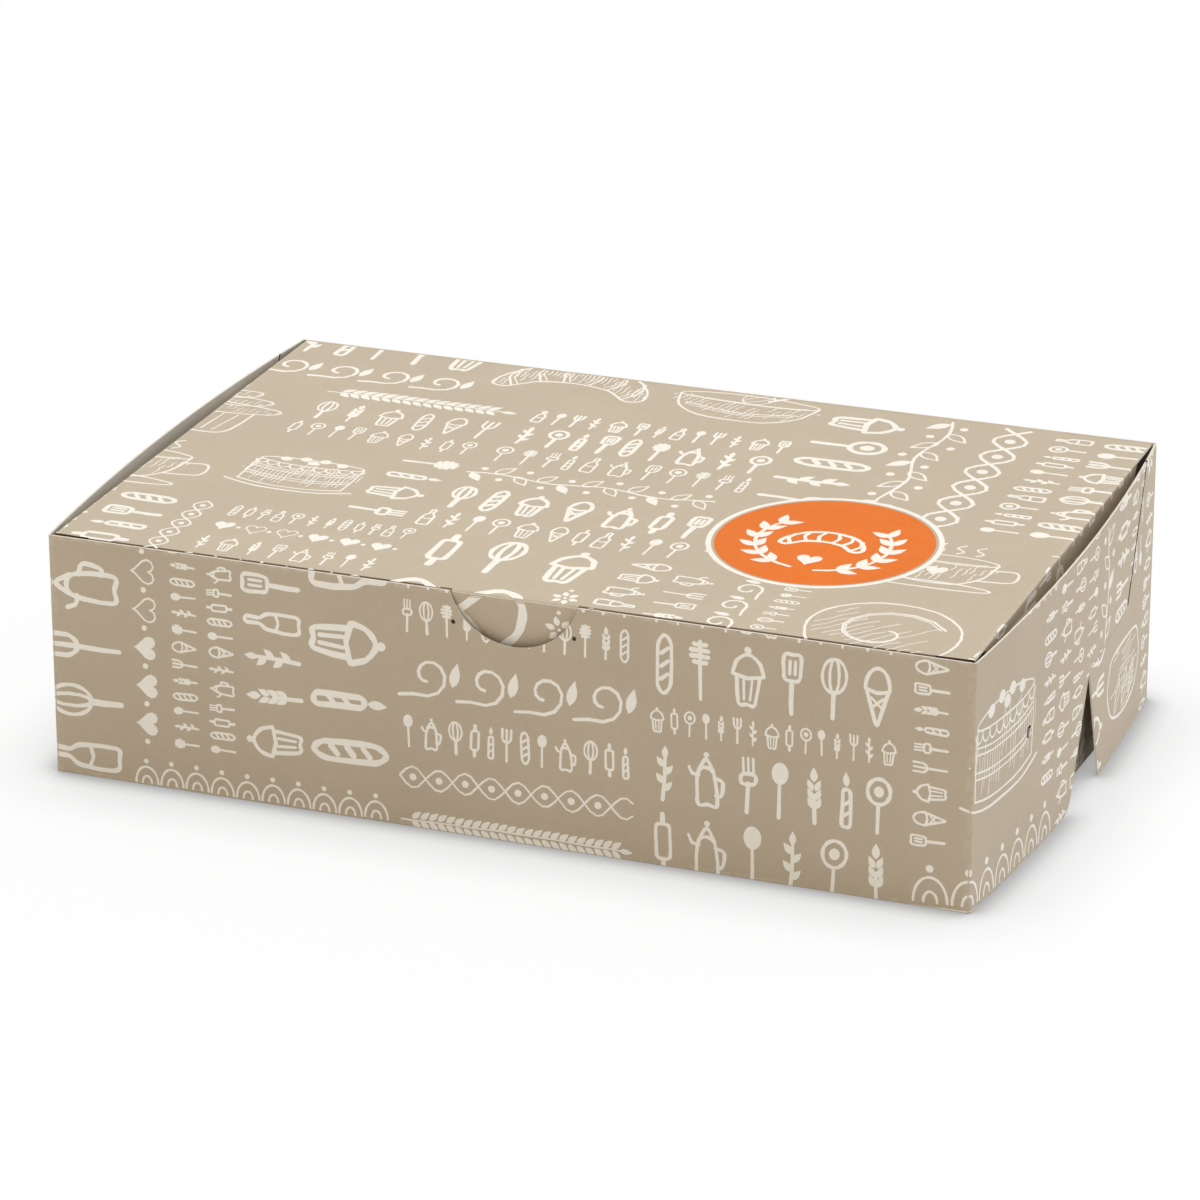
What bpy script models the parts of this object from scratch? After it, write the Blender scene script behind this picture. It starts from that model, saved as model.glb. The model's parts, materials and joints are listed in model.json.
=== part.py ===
"""Pastry box with a hinged lid, folded from one blank of cartonboard.

The box stands on the origin, its front towards -Y, and is drawn as it looks when it is closed. The
walls and the base are flat panels. Each end is closed by a flap from the front wall and a flap from
the back wall, which hook into each other and bow outwards together. The lid folds at the top of the
back wall, and its three flaps are tucked inside.
"""
import math

import bmesh
import bpy
from mathutils import Vector

MM = 0.001

# Overall sizes
WIDTH = 250 * MM            # from corner crease to corner crease, left to right
DEPTH = 156 * MM            # outside of the front wall to outside of the back wall
BACK_HEIGHT = 73 * MM
FRONT_HEIGHT = 65.5 * MM    # the front wall is lower, so the closed lid slopes forward
BOW = 4 * MM                # how far each end wall bulges past its creases

# Board and creases
BOARD = 0.5 * MM            # thickness of the cartonboard
GAP = 0.3 * MM              # clearance between two panels at a crease
FOLD_INNER = 0.3 * MM       # inner radius of the folds at the four upright corners
FOLD_EDGE_SHARE = 0.85      # of the board: how far a panel's outer edge is rounded at its other folds
OVERRUN = 2 * MM            # how far every cutter runs past what it cuts

# Panels that stand on the base
END_PANEL_INSET = 2.6 * MM  # from the corner creases in to the outside of the inner end panels
END_PANEL_HEIGHT = 34 * MM
END_PANEL_TAPER = 3 * MM    # how much shorter its top edge is at each end
FLAP_LIFT = 0.5 * MM        # the lock flaps hang this far off the table

# Thumb notch and pin holes in the front wall
NOTCH_CENTRE = 4.5 * MM     # to the right of the middle
NOTCH_WIDTH = 34.6 * MM
NOTCH_DEPTH = 12.8 * MM
PIN_HOLE = 1.3 * MM         # diameter
PIN_HOLE_SPREAD = 32.6 * MM
PIN_HOLE_DROP = 8.2 * MM    # below the top edge

# Lid and its flaps
FOLD_WIDTH = 228 * MM       # length of the front fold between the two end slits
SLIT_SETBACK = 0.9 * MM     # the lid's raw edge at the end slits lies this far back
NICK = 0.8 * MM             # diameter of the nicks in the front fold
NICK_SPREAD = 41 * MM
TUCK_DEPTH = 22 * MM
TUCK_SHOULDER = 6 * MM      # how far the tuck flap widens below each end slit
TUCK_CORNER = 12 * MM       # radius of its lower corners
TUCK_LEAN = math.radians(8)  # from upright, towards the inside
SIDE_FLAP_DEPTH = 28 * MM
SIDE_FLAP_CORNER = 7 * MM

# Hook lock of each end wall; shares are of the depth, from the front, and of the back height
SLIT_TOP_SHARE = 0.907
SLIT_FOOT_SHARES = (0.788, 0.527)
NOTCH_TIP_SHARES = (0.544, 0.468)
NOTCH_FRONT_SHARE = 0.445   # where the V notch meets the bottom edge, front side
NOTCH_REAR_SHARE = 0.621
NOTCH_CORNER = 7 * MM       # radius of the front flap's lower corner at the V notch
SLIT_GAP = 1.2 * MM         # width of the open slit near the rear corner
HOOK_CORNER = 1.2 * MM
HOOK_LAP = 5 * MM           # how far each tongue reaches back behind its own flap
TONGUE_CORNER = 4 * MM
REAR_TONGUE_SHARES = (0.585, 0.735)
REAR_TONGUE_RISE = 15 * MM
FRONT_TONGUE_SHARES = (0.66, 0.87)
FRONT_TONGUE_REACH = 13 * MM
CRESCENT = 3.4 * MM         # diameter of the small crescent cut
CRESCENT_WIDTH = 1.5 * MM
CRESCENT_SHARES = (0.232, 0.48)

# Shares of the lid's length, from the hinge, where the side flaps start and end
SIDE_FLAP_FOLD_SHARES = (0.10, 0.94)
SIDE_FLAP_TIP_SHARES = (0.24, 0.785)

# Fineness of the round forms
BOW_SEGMENTS = 24
CORNER_STEPS = 6
ROUND_STEPS = 96
HOLE_STEPS = 16
CRESCENT_STEPS = 32
FOLD_STEPS = 4

PRINTED_BOARD = (0.585, 0.492, 0.371, 1.0)
BOARD_ROUGHNESS = 0.62

# Sizes that follow from the ones above
CUT_DEPTH = 2 * OVERRUN
LID_SLOPE = math.asin((BACK_HEIGHT - FRONT_HEIGHT) / (DEPTH - BOARD - GAP))
LID_LENGTH = (DEPTH - BOARD - GAP) / math.cos(LID_SLOPE)
FOLD_RADIUS = BOARD + FOLD_INNER
FOLD_Y = DEPTH / 2 - FOLD_RADIUS            # centre line of an upright corner fold
BOW_RADIUS = ((DEPTH / 2) ** 2 + BOW ** 2) / (2 * BOW)
BOW_CENTRE_X = WIDTH / 2 + BOW - BOW_RADIUS
FOLD_X = BOW_CENTRE_X + math.sqrt((BOW_RADIUS - FOLD_RADIUS) ** 2 - FOLD_Y ** 2)
BOW_END_ANGLE = math.atan2(FOLD_Y, FOLD_X - BOW_CENTRE_X)
INNER_HALF_WIDTH = FOLD_X - GAP             # the lid and the walls end where the corner folds begin
END_PANEL_X = WIDTH / 2 - END_PANEL_INSET
NOTCH_RADIUS = ((NOTCH_WIDTH / 2) ** 2 + NOTCH_DEPTH ** 2) / (2 * NOTCH_DEPTH)

FLAT_ANGLE = math.radians(1)

# Rotations that turn a panel drawn in its own X and Y, with its outside towards +Z
FACING_FRONT = (math.pi / 2, 0, 0)
FACING_RIGHT = (math.pi / 2, 0, math.pi / 2)
FACING_BACK = (math.pi / 2, 0, math.pi)
FACING_LEFT = (math.pi / 2, 0, -math.pi / 2)
FACING_DOWN = (math.pi, 0, 0)
FACING_SIDE = {1: FACING_RIGHT, -1: FACING_LEFT}
SIDE_NAMES = {1: "right", -1: "left"}


def clear_scene():
    for obj in list(bpy.data.objects):
        bpy.data.objects.remove(obj, do_unlink=True)


def new_collection(name):
    collection = bpy.data.collections.new(name)
    bpy.context.scene.collection.children.link(collection)
    return collection


def board_material(name):
    material = bpy.data.materials.new(name + "_board")
    material.use_nodes = True
    shader = material.node_tree.nodes["Principled BSDF"]
    shader.inputs["Base Color"].default_value = PRINTED_BOARD
    shader.inputs["Roughness"].default_value = BOARD_ROUGHNESS
    shader.inputs["Metallic"].default_value = 0
    return material


def add_object(name, mesh, collection):
    obj = bpy.data.objects.new(name, mesh)
    collection.objects.link(obj)
    return obj


def add_part(name, mesh, parts, parent=None):
    obj = add_object(name, mesh, parts)
    obj.data.materials.clear()
    obj.data.materials.append(board_material(name))
    obj.parent = parent
    return obj


def add_guide(name, mesh, guides):
    obj = add_object(name, mesh, guides)
    obj.hide_render = True
    obj.display_type = 'WIRE'
    return obj


def add_axis(name, location, rotation, parts, parent=None):
    empty = bpy.data.objects.new(name, None)
    parts.objects.link(empty)
    empty.empty_display_size = BOARD
    empty.location = location
    empty.rotation_euler = rotation
    empty.parent = parent
    return empty


def boolean(obj, operation, other):
    modifier = obj.modifiers.new(operation.lower() + "_" + other.name, 'BOOLEAN')
    modifier.operation = operation
    modifier.solver = 'EXACT'
    modifier.object = other


def rounded(corners):
    """Outline through corners given as (a, b, radius), with an arc at each round one."""
    points = []
    for index, (a, b, radius) in enumerate(corners):
        corner = Vector((a, b))
        if not radius:
            points.append(corner)
            continue
        before = (Vector(corners[index - 1][:2]) - corner).normalized()
        after = (Vector(corners[(index + 1) % len(corners)][:2]) - corner).normalized()
        half = before.angle(after) / 2
        centre = corner + (before + after).normalized() * radius / math.sin(half)
        first = corner + before * radius / math.tan(half) - centre
        last = corner + after * radius / math.tan(half) - centre
        for step in range(CORNER_STEPS + 1):
            share = step / CORNER_STEPS
            direction = first.normalized().slerp(last.normalized(), share)
            points.append(centre + direction * radius)
    return points


def prism_mesh(name, corners, low, high):
    """Closed plate with the given outline in X and Y, between two heights along Z."""
    points = rounded(corners)
    curve = bpy.data.curves.new(name + "_outline", 'CURVE')
    curve.dimensions = '2D'
    curve.fill_mode = 'BOTH'
    curve.extrude = (high - low) / 2
    spline = curve.splines.new('POLY')
    spline.points.add(len(points) - 1)
    for spot, point in zip(spline.points, points):
        spot.co = (point.x, point.y, 0, 1)
    spline.use_cyclic_u = True
    holder = bpy.data.objects.new(name + "_outline", curve)
    bpy.context.scene.collection.objects.link(holder)
    evaluated = holder.evaluated_get(bpy.context.evaluated_depsgraph_get())
    mesh = bpy.data.meshes.new_from_object(evaluated)
    bpy.data.objects.remove(holder, do_unlink=True)
    bpy.data.curves.remove(curve)
    shape = bmesh.new()
    shape.from_mesh(mesh)
    bmesh.ops.remove_doubles(shape, verts=shape.verts, dist=GAP / 100)
    bmesh.ops.translate(shape, verts=shape.verts, vec=(0, 0, (low + high) / 2))
    shape.to_mesh(mesh)
    shape.free()
    mesh.name = name
    return mesh


def round_folds(mesh, is_fold):
    """Round the outer edges of a plate where is_fold(middle, direction) says that it folds on."""
    shape = bmesh.new()
    shape.from_mesh(mesh)
    bmesh.ops.dissolve_limit(shape, angle_limit=FLAT_ANGLE, verts=shape.verts, edges=shape.edges)
    folds = []
    for edge in shape.edges:
        first, second = (vertex.co for vertex in edge.verts)
        on_outside = min(first.z, second.z) > -BOARD / 2
        if on_outside and is_fold((first + second) / 2, second - first):
            folds.append(edge)
    bmesh.ops.bevel(shape, geom=folds, offset=FOLD_EDGE_SHARE * BOARD, offset_type='OFFSET',
                    segments=FOLD_STEPS, profile=0.5, affect='EDGES')
    shape.to_mesh(mesh)
    shape.free()


def disc_mesh(name, diameter, depth, steps):
    shape = bmesh.new()
    bmesh.ops.create_cone(shape, cap_ends=True, segments=steps, radius1=diameter / 2,
                          radius2=diameter / 2, depth=depth)
    mesh = bpy.data.meshes.new(name)
    shape.to_mesh(mesh)
    shape.free()
    return mesh


def add_cutter(name, diameter, depth, steps, location, rotation, guides):
    cutter = add_guide(name, disc_mesh(name, diameter, depth, steps), guides)
    cutter.location = location
    cutter.rotation_euler = rotation
    return cutter


def place(obj, location, rotation):
    obj.location = location
    obj.rotation_euler = rotation


def bow_x(y):
    """Where the outside of the bowed end wall lies at y."""
    return BOW_CENTRE_X + math.sqrt(BOW_RADIUS ** 2 - y ** 2)


def end_profile():
    """Plan of an end's outside: the front corner fold, the bow and the rear corner fold."""
    front = []
    for step in range(FOLD_STEPS):
        angle = BOW_END_ANGLE + (math.pi / 2 - BOW_END_ANGLE) * (1 - step / FOLD_STEPS)
        front.append((FOLD_X + FOLD_RADIUS * math.cos(angle), -FOLD_Y - FOLD_RADIUS * math.sin(angle)))
    bow = []
    for step in range(BOW_SEGMENTS + 1):
        angle = BOW_END_ANGLE * (2 * step / BOW_SEGMENTS - 1)
        bow.append((BOW_CENTRE_X + BOW_RADIUS * math.cos(angle), BOW_RADIUS * math.sin(angle)))
    rear = [(x, -y) for x, y in reversed(front)]
    return front + bow + rear


def wall_top(y):
    """Height of the end wall's top edge at y, level with the closed lid."""
    share = y / DEPTH + 0.5
    return FRONT_HEIGHT + (BACK_HEIGHT - FRONT_HEIGHT) * share


def on_end_wall(shares):
    return Vector(((shares[0] - 0.5) * DEPTH, shares[1] * BACK_HEIGHT))


def bowed_sheet(name, side, inset):
    """Sheet of board over a whole end, standing upright and following the folds and the bow."""
    profile = end_profile()
    last = len(profile) - 1
    shape = bmesh.new()
    bmesh.ops.create_grid(shape, x_segments=1, y_segments=last, size=0.5)
    for vertex in shape.verts:
        height = (0.5 + vertex.co.x) * (BACK_HEIGHT + 2 * OVERRUN) - OVERRUN
        x, y = profile[round((0.5 + vertex.co.y) * last)]
        vertex.co = (side * (x - inset), y, height)
    if side > 0:
        bmesh.ops.reverse_faces(shape, faces=shape.faces)
    mesh = bpy.data.meshes.new(name)
    shape.to_mesh(mesh)
    shape.free()
    return mesh


def add_solidify(obj):
    modifier = obj.modifiers.new("board", 'SOLIDIFY')
    modifier.thickness = BOARD
    modifier.offset = -1
    modifier.use_even_offset = True


def end_wall_prism(name, side, corners, guides):
    """Guide prism that runs through one end wall, with its outline in Y and Z."""
    turned = [(side * a, b, radius) for a, b, radius in corners]
    depth = BOW + BOARD + 2 * OVERRUN
    mesh = prism_mesh(name, turned, -depth, depth)
    prism = add_guide(name, mesh, guides)
    place(prism, (side * WIDTH / 2, 0, 0), FACING_SIDE[side])
    return prism


def bowed_piece(name, side, inset, corners, guides):
    """Guide piece of the bowed sheet inside an outline, for joining to a lock flap."""
    piece = add_guide(name, bowed_sheet(name, side, inset), guides)
    add_solidify(piece)
    boolean(piece, 'INTERSECT', end_wall_prism(name + "_prism", side, corners, guides))
    return piece


def build_base(parts):
    half_width = END_PANEL_X
    half_depth = DEPTH / 2 - BOARD - GAP
    corners = [(-half_width, -half_depth, 0), (half_width, -half_depth, 0),
               (half_width, half_depth, 0), (-half_width, half_depth, 0)]
    base = add_part("base_panel", prism_mesh("base_panel", corners, -BOARD, 0), parts)
    place(base, (0, 0, 0), FACING_DOWN)


def build_front_wall(parts, guides):
    half_width = INNER_HALF_WIDTH
    corners = [(-half_width, 0, 0), (half_width, 0, 0),
               (half_width, FRONT_HEIGHT, 0), (-half_width, FRONT_HEIGHT, 0)]
    mesh = prism_mesh("front_wall", corners, -BOARD, 0)
    round_folds(mesh, lambda middle, run: middle.y < GAP)
    wall = add_part("front_wall", mesh, parts)
    place(wall, (0, -DEPTH / 2, 0), FACING_FRONT)
    notch_z = FRONT_HEIGHT - NOTCH_DEPTH + NOTCH_RADIUS
    notch = add_cutter("thumb_notch", 2 * NOTCH_RADIUS, CUT_DEPTH, ROUND_STEPS,
                       (NOTCH_CENTRE, -DEPTH / 2, notch_z), FACING_FRONT, guides)
    boolean(wall, 'DIFFERENCE', notch)
    for side in (1, -1):
        spot = (NOTCH_CENTRE + side * PIN_HOLE_SPREAD / 2, -DEPTH / 2, FRONT_HEIGHT - PIN_HOLE_DROP)
        hole = add_cutter("pin_hole_" + SIDE_NAMES[side], PIN_HOLE, CUT_DEPTH, HOLE_STEPS, spot,
                          FACING_FRONT, guides)
        boolean(wall, 'DIFFERENCE', hole)


def build_back_wall(parts):
    top = BACK_HEIGHT - BOARD - GAP
    corners = [(-INNER_HALF_WIDTH, 0, 0), (INNER_HALF_WIDTH, 0, 0),
               (INNER_HALF_WIDTH, top, 0), (-INNER_HALF_WIDTH, top, 0)]
    mesh = prism_mesh("back_wall", corners, -BOARD, 0)
    round_folds(mesh, lambda middle, run: middle.y < GAP)
    wall = add_part("back_wall", mesh, parts)
    place(wall, (0, DEPTH / 2, 0), FACING_BACK)


def build_end_panel(side, parts):
    """Panel that stands on the base's end crease, with its origin on that crease."""
    name = "end_panel_" + SIDE_NAMES[side]
    half = DEPTH / 2 - BOARD - 2 * GAP
    foot = GAP / 2
    corners = [(-half, foot, 0), (half, foot, 0),
               (half - END_PANEL_TAPER, END_PANEL_HEIGHT - BOARD, 0),
               (END_PANEL_TAPER - half, END_PANEL_HEIGHT - BOARD, 0)]
    panel = add_part(name, prism_mesh(name, corners, 0, BOARD), parts)
    place(panel, (side * (END_PANEL_X - BOARD), 0, BOARD + foot), FACING_SIDE[side])


def build_front_lock_flap(side, parts, guides):
    name = "front_lock_flap_" + SIDE_NAMES[side]
    front = -DEPTH / 2
    slit_top = (SLIT_TOP_SHARE - 0.5) * DEPTH
    foot = on_end_wall(SLIT_FOOT_SHARES)
    tip = on_end_wall(NOTCH_TIP_SHARES)
    notch_front = (NOTCH_FRONT_SHARE - 0.5) * DEPTH
    corners = [(front - OVERRUN, FLAP_LIFT, 0), (notch_front, FLAP_LIFT, NOTCH_CORNER),
               (tip.x, tip.y, 0), (foot.x, foot.y, HOOK_CORNER),
               (slit_top, wall_top(slit_top), 0),
               (front - OVERRUN, wall_top(front - OVERRUN), 0)]
    flap = add_part(name, bowed_sheet(name, side, 0), parts)
    add_solidify(flap)
    boolean(flap, 'INTERSECT', end_wall_prism(name + "_outline", side, corners, guides))

    low, high = (share * BACK_HEIGHT for share in FRONT_TONGUE_SHARES)
    slit_share = (low - foot.y) / (wall_top(slit_top) - foot.y)
    slit_y = foot.x + (slit_top - foot.x) * slit_share
    lap = [(slit_y - 2 * HOOK_LAP, low, 0), (slit_y - GAP, low, 0),
           (slit_y - GAP, high, 0), (slit_y - 2 * HOOK_LAP, high, 0)]
    tongue = [(slit_y - 2 * HOOK_LAP, low, 0), (slit_y + FRONT_TONGUE_REACH, low, TONGUE_CORNER),
              (slit_y + FRONT_TONGUE_REACH, high, TONGUE_CORNER), (slit_y - 2 * HOOK_LAP, high, 0)]
    join_tongue(flap, name, side, lap, tongue, guides)

    crescent = add_crescent(side, guides)
    boolean(flap, 'DIFFERENCE', crescent)


def build_rear_lock_flap(side, parts, guides):
    name = "rear_lock_flap_" + SIDE_NAMES[side]
    back = DEPTH / 2
    slit_top = (SLIT_TOP_SHARE - 0.5) * DEPTH + SLIT_GAP
    foot = on_end_wall(SLIT_FOOT_SHARES) + Vector((SLIT_GAP, -GAP))
    tip = on_end_wall(NOTCH_TIP_SHARES) + Vector((0, -GAP))
    notch_rear = (NOTCH_REAR_SHARE - 0.5) * DEPTH
    corners = [(back + OVERRUN, FLAP_LIFT, 0), (back + OVERRUN, wall_top(back + OVERRUN), 0),
               (slit_top, wall_top(slit_top), 0), (foot.x, foot.y, HOOK_CORNER),
               (tip.x, tip.y, 0), (notch_rear, FLAP_LIFT, 0)]
    flap = add_part(name, bowed_sheet(name, side, 0), parts)
    add_solidify(flap)
    boolean(flap, 'INTERSECT', end_wall_prism(name + "_outline", side, corners, guides))

    low, high = ((share - 0.5) * DEPTH for share in REAR_TONGUE_SHARES)
    top = tip.y + REAR_TONGUE_RISE
    lap = [(low, tip.y - HOOK_LAP, 0), (high, tip.y - HOOK_LAP, 0),
           (high, tip.y, 0), (low, tip.y, 0)]
    tongue = [(low, tip.y - HOOK_LAP, 0), (high, tip.y - HOOK_LAP, 0),
              (high, top, TONGUE_CORNER), (low, top, TONGUE_CORNER)]
    join_tongue(flap, name, side, lap, tongue, guides)


def join_tongue(flap, name, side, lap, tongue, guides):
    """Join to a flap the tongue that passes behind its neighbour, and the lap that carries it."""
    depth = BOARD + GAP
    boolean(flap, 'UNION', bowed_piece(name + "_lap", side, depth / 2, lap, guides))
    boolean(flap, 'UNION', bowed_piece(name + "_tongue", side, depth, tongue, guides))


def add_crescent(side, guides):
    """Cutter shaped like a thin moon: a disc with a second disc bitten out of it."""
    name = "crescent_" + SIDE_NAMES[side]
    spot = on_end_wall(CRESCENT_SHARES)
    x = side * bow_x(spot.x)
    disc = add_cutter(name, CRESCENT, CUT_DEPTH, CRESCENT_STEPS, (x, spot.x, spot.y),
                      FACING_SIDE[side], guides)
    bite = add_cutter(name + "_bite", CRESCENT, CUT_DEPTH + OVERRUN, CRESCENT_STEPS,
                      (x, spot.x + CRESCENT_WIDTH, spot.y - CRESCENT_WIDTH / 2),
                      FACING_SIDE[side], guides)
    boolean(disc, 'DIFFERENCE', bite)
    return disc


def build_lid(parts, guides):
    hinge = add_axis("lid_hinge_axis", (0, DEPTH / 2, BACK_HEIGHT), (LID_SLOPE, 0, 0), parts)
    fold = FOLD_WIDTH / 2
    front = -LID_LENGTH
    raw_edge = front + SLIT_SETBACK
    corners = [(-INNER_HALF_WIDTH, 0, 0), (-INNER_HALF_WIDTH, raw_edge + GAP, 0),
               (-fold, raw_edge, 0), (-fold, front, 0), (fold, front, 0),
               (fold, raw_edge, 0), (INNER_HALF_WIDTH, raw_edge + GAP, 0), (INNER_HALF_WIDTH, 0, 0)]
    mesh = prism_mesh("lid_panel", corners, -BOARD, 0)
    round_folds(mesh, lambda middle, run: abs(run.y) > SLIT_SETBACK + GAP or abs(middle.x) < fold)
    lid = add_part("lid_panel", mesh, parts, hinge)
    for side in (1, -1):
        nick = add_cutter("nick_" + SIDE_NAMES[side], NICK, CUT_DEPTH, HOLE_STEPS,
                          (NOTCH_CENTRE + side * NICK_SPREAD / 2, front - NICK / 6, 0),
                          (0, 0, 0), guides)
        nick.parent = hinge
        boolean(lid, 'DIFFERENCE', nick)
    build_tuck_flap(parts, hinge)
    for side in (1, -1):
        build_side_flap(side, parts, hinge)


def build_tuck_flap(parts, hinge):
    """Front flap of the lid, with its origin on its crease and leaning in as it hangs."""
    fold = FOLD_WIDTH / 2
    shoulder = fold + TUCK_SHOULDER
    step = GAP + BOARD
    top = -GAP / 2
    corners = [(-fold, top, 0), (-fold, top - step, 0), (-shoulder, top - step, step),
               (-shoulder, -TUCK_DEPTH, TUCK_CORNER), (shoulder, -TUCK_DEPTH, TUCK_CORNER),
               (shoulder, top - step, step), (fold, top - step, 0), (fold, top, 0)]
    flap = add_part("tuck_flap", prism_mesh("tuck_flap", corners, 0, BOARD), parts, hinge)
    lean = TUCK_LEAN - LID_SLOPE
    place(flap, (0, BOARD - LID_LENGTH, -BOARD - GAP / 2), (math.pi / 2 + lean, 0, 0))


def build_side_flap(side, parts, hinge):
    """Side flap of the lid, with its origin on its crease."""
    name = "lid_side_flap_" + SIDE_NAMES[side]
    top = -GAP / 2
    rear, front = (-share * LID_LENGTH * side for share in SIDE_FLAP_FOLD_SHARES)
    tip_rear, tip_front = (-share * LID_LENGTH * side for share in SIDE_FLAP_TIP_SHARES)
    corners = [(rear, top, 0), (tip_rear, -SIDE_FLAP_DEPTH, SIDE_FLAP_CORNER),
               (tip_front, -SIDE_FLAP_DEPTH, SIDE_FLAP_CORNER), (front, top, 0)]
    flap = add_part(name, prism_mesh(name, corners, 0, BOARD), parts, hinge)
    place(flap, (side * (INNER_HALF_WIDTH - BOARD), 0, -BOARD - GAP / 2), FACING_SIDE[side])


def main():
    clear_scene()
    parts = new_collection("pastry_box")
    guides = new_collection("cutters")
    build_base(parts)
    build_front_wall(parts, guides)
    build_back_wall(parts)
    for side in (1, -1):
        build_end_panel(side, parts)
        build_front_lock_flap(side, parts, guides)
        build_rear_lock_flap(side, parts, guides)
    build_lid(parts, guides)
    bpy.context.view_layer.update()


main()
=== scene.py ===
"""Looks of the pastry box: printed board, folds, print, floor, light and camera.

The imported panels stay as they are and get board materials. Thin fold pieces close the creases
between them, and the print is a thin layer of ink on each panel's outside. Its motifs are line
drawings from a bakery, laid out in bands of several sizes.
"""
import json
import random
from math import atan2, ceil, cos, hypot, pi, radians, sin, sqrt, tau

import bmesh
import bpy
import numpy as np
from mathutils import Matrix, Vector
from mathutils.geometry import delaunay_2d_cdt
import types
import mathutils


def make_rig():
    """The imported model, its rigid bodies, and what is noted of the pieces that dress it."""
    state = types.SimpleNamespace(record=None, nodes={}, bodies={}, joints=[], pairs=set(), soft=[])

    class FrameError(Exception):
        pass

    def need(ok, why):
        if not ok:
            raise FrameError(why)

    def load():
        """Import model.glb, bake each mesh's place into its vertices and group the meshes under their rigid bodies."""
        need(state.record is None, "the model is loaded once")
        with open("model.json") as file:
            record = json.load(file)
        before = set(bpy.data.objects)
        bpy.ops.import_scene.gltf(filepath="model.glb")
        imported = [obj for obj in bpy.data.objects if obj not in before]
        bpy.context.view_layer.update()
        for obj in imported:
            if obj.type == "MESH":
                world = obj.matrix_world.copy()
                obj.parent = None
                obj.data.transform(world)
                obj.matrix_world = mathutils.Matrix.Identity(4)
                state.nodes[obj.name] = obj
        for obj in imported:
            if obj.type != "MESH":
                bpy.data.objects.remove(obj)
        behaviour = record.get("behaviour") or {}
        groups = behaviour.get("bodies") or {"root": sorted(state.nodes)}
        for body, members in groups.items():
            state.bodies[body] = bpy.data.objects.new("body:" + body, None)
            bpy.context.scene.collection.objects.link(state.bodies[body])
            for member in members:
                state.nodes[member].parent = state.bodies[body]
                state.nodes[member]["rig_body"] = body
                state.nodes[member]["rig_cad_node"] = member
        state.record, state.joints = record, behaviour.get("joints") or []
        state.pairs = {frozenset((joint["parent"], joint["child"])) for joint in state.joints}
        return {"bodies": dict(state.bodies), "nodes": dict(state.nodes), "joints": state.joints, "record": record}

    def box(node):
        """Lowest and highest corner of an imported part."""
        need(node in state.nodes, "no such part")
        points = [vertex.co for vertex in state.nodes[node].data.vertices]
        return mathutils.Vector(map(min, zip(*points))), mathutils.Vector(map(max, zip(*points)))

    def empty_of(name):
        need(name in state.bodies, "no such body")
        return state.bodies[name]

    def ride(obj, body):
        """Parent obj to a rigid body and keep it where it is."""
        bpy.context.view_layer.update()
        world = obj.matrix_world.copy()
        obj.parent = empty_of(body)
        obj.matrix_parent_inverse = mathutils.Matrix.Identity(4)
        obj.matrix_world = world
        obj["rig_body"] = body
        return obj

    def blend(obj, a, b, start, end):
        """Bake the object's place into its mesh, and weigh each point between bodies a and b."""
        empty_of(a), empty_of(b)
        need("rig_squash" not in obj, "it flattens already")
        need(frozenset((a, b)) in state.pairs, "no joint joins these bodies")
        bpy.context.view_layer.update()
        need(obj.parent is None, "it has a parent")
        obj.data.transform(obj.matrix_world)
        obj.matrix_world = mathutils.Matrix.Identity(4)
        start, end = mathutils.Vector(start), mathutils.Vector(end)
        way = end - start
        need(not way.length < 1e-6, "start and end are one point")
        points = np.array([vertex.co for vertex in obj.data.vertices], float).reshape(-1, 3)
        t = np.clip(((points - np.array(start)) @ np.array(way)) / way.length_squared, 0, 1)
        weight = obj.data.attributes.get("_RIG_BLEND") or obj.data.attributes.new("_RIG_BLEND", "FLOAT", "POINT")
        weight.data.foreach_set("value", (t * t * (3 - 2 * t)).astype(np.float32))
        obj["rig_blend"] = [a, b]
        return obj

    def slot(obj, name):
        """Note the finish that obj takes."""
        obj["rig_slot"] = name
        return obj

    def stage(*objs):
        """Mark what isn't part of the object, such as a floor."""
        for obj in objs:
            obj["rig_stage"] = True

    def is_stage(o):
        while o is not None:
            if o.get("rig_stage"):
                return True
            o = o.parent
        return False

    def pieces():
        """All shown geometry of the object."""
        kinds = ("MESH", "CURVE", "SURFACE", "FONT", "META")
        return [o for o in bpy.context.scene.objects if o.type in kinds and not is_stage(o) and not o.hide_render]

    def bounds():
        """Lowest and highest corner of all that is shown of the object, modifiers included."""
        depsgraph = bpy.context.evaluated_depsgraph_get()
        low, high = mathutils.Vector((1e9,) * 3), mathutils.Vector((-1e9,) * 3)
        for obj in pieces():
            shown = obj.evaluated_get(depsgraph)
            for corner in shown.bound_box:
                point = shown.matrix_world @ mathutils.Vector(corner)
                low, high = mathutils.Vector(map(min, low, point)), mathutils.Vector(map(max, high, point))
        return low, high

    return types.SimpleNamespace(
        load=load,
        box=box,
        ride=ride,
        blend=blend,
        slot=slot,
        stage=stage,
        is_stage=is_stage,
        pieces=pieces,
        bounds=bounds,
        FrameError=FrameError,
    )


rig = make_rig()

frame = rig.load()
cad_low, cad_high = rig.bounds()

MM = 0.001
SIDES = {"right": 1, "left": -1}

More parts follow.
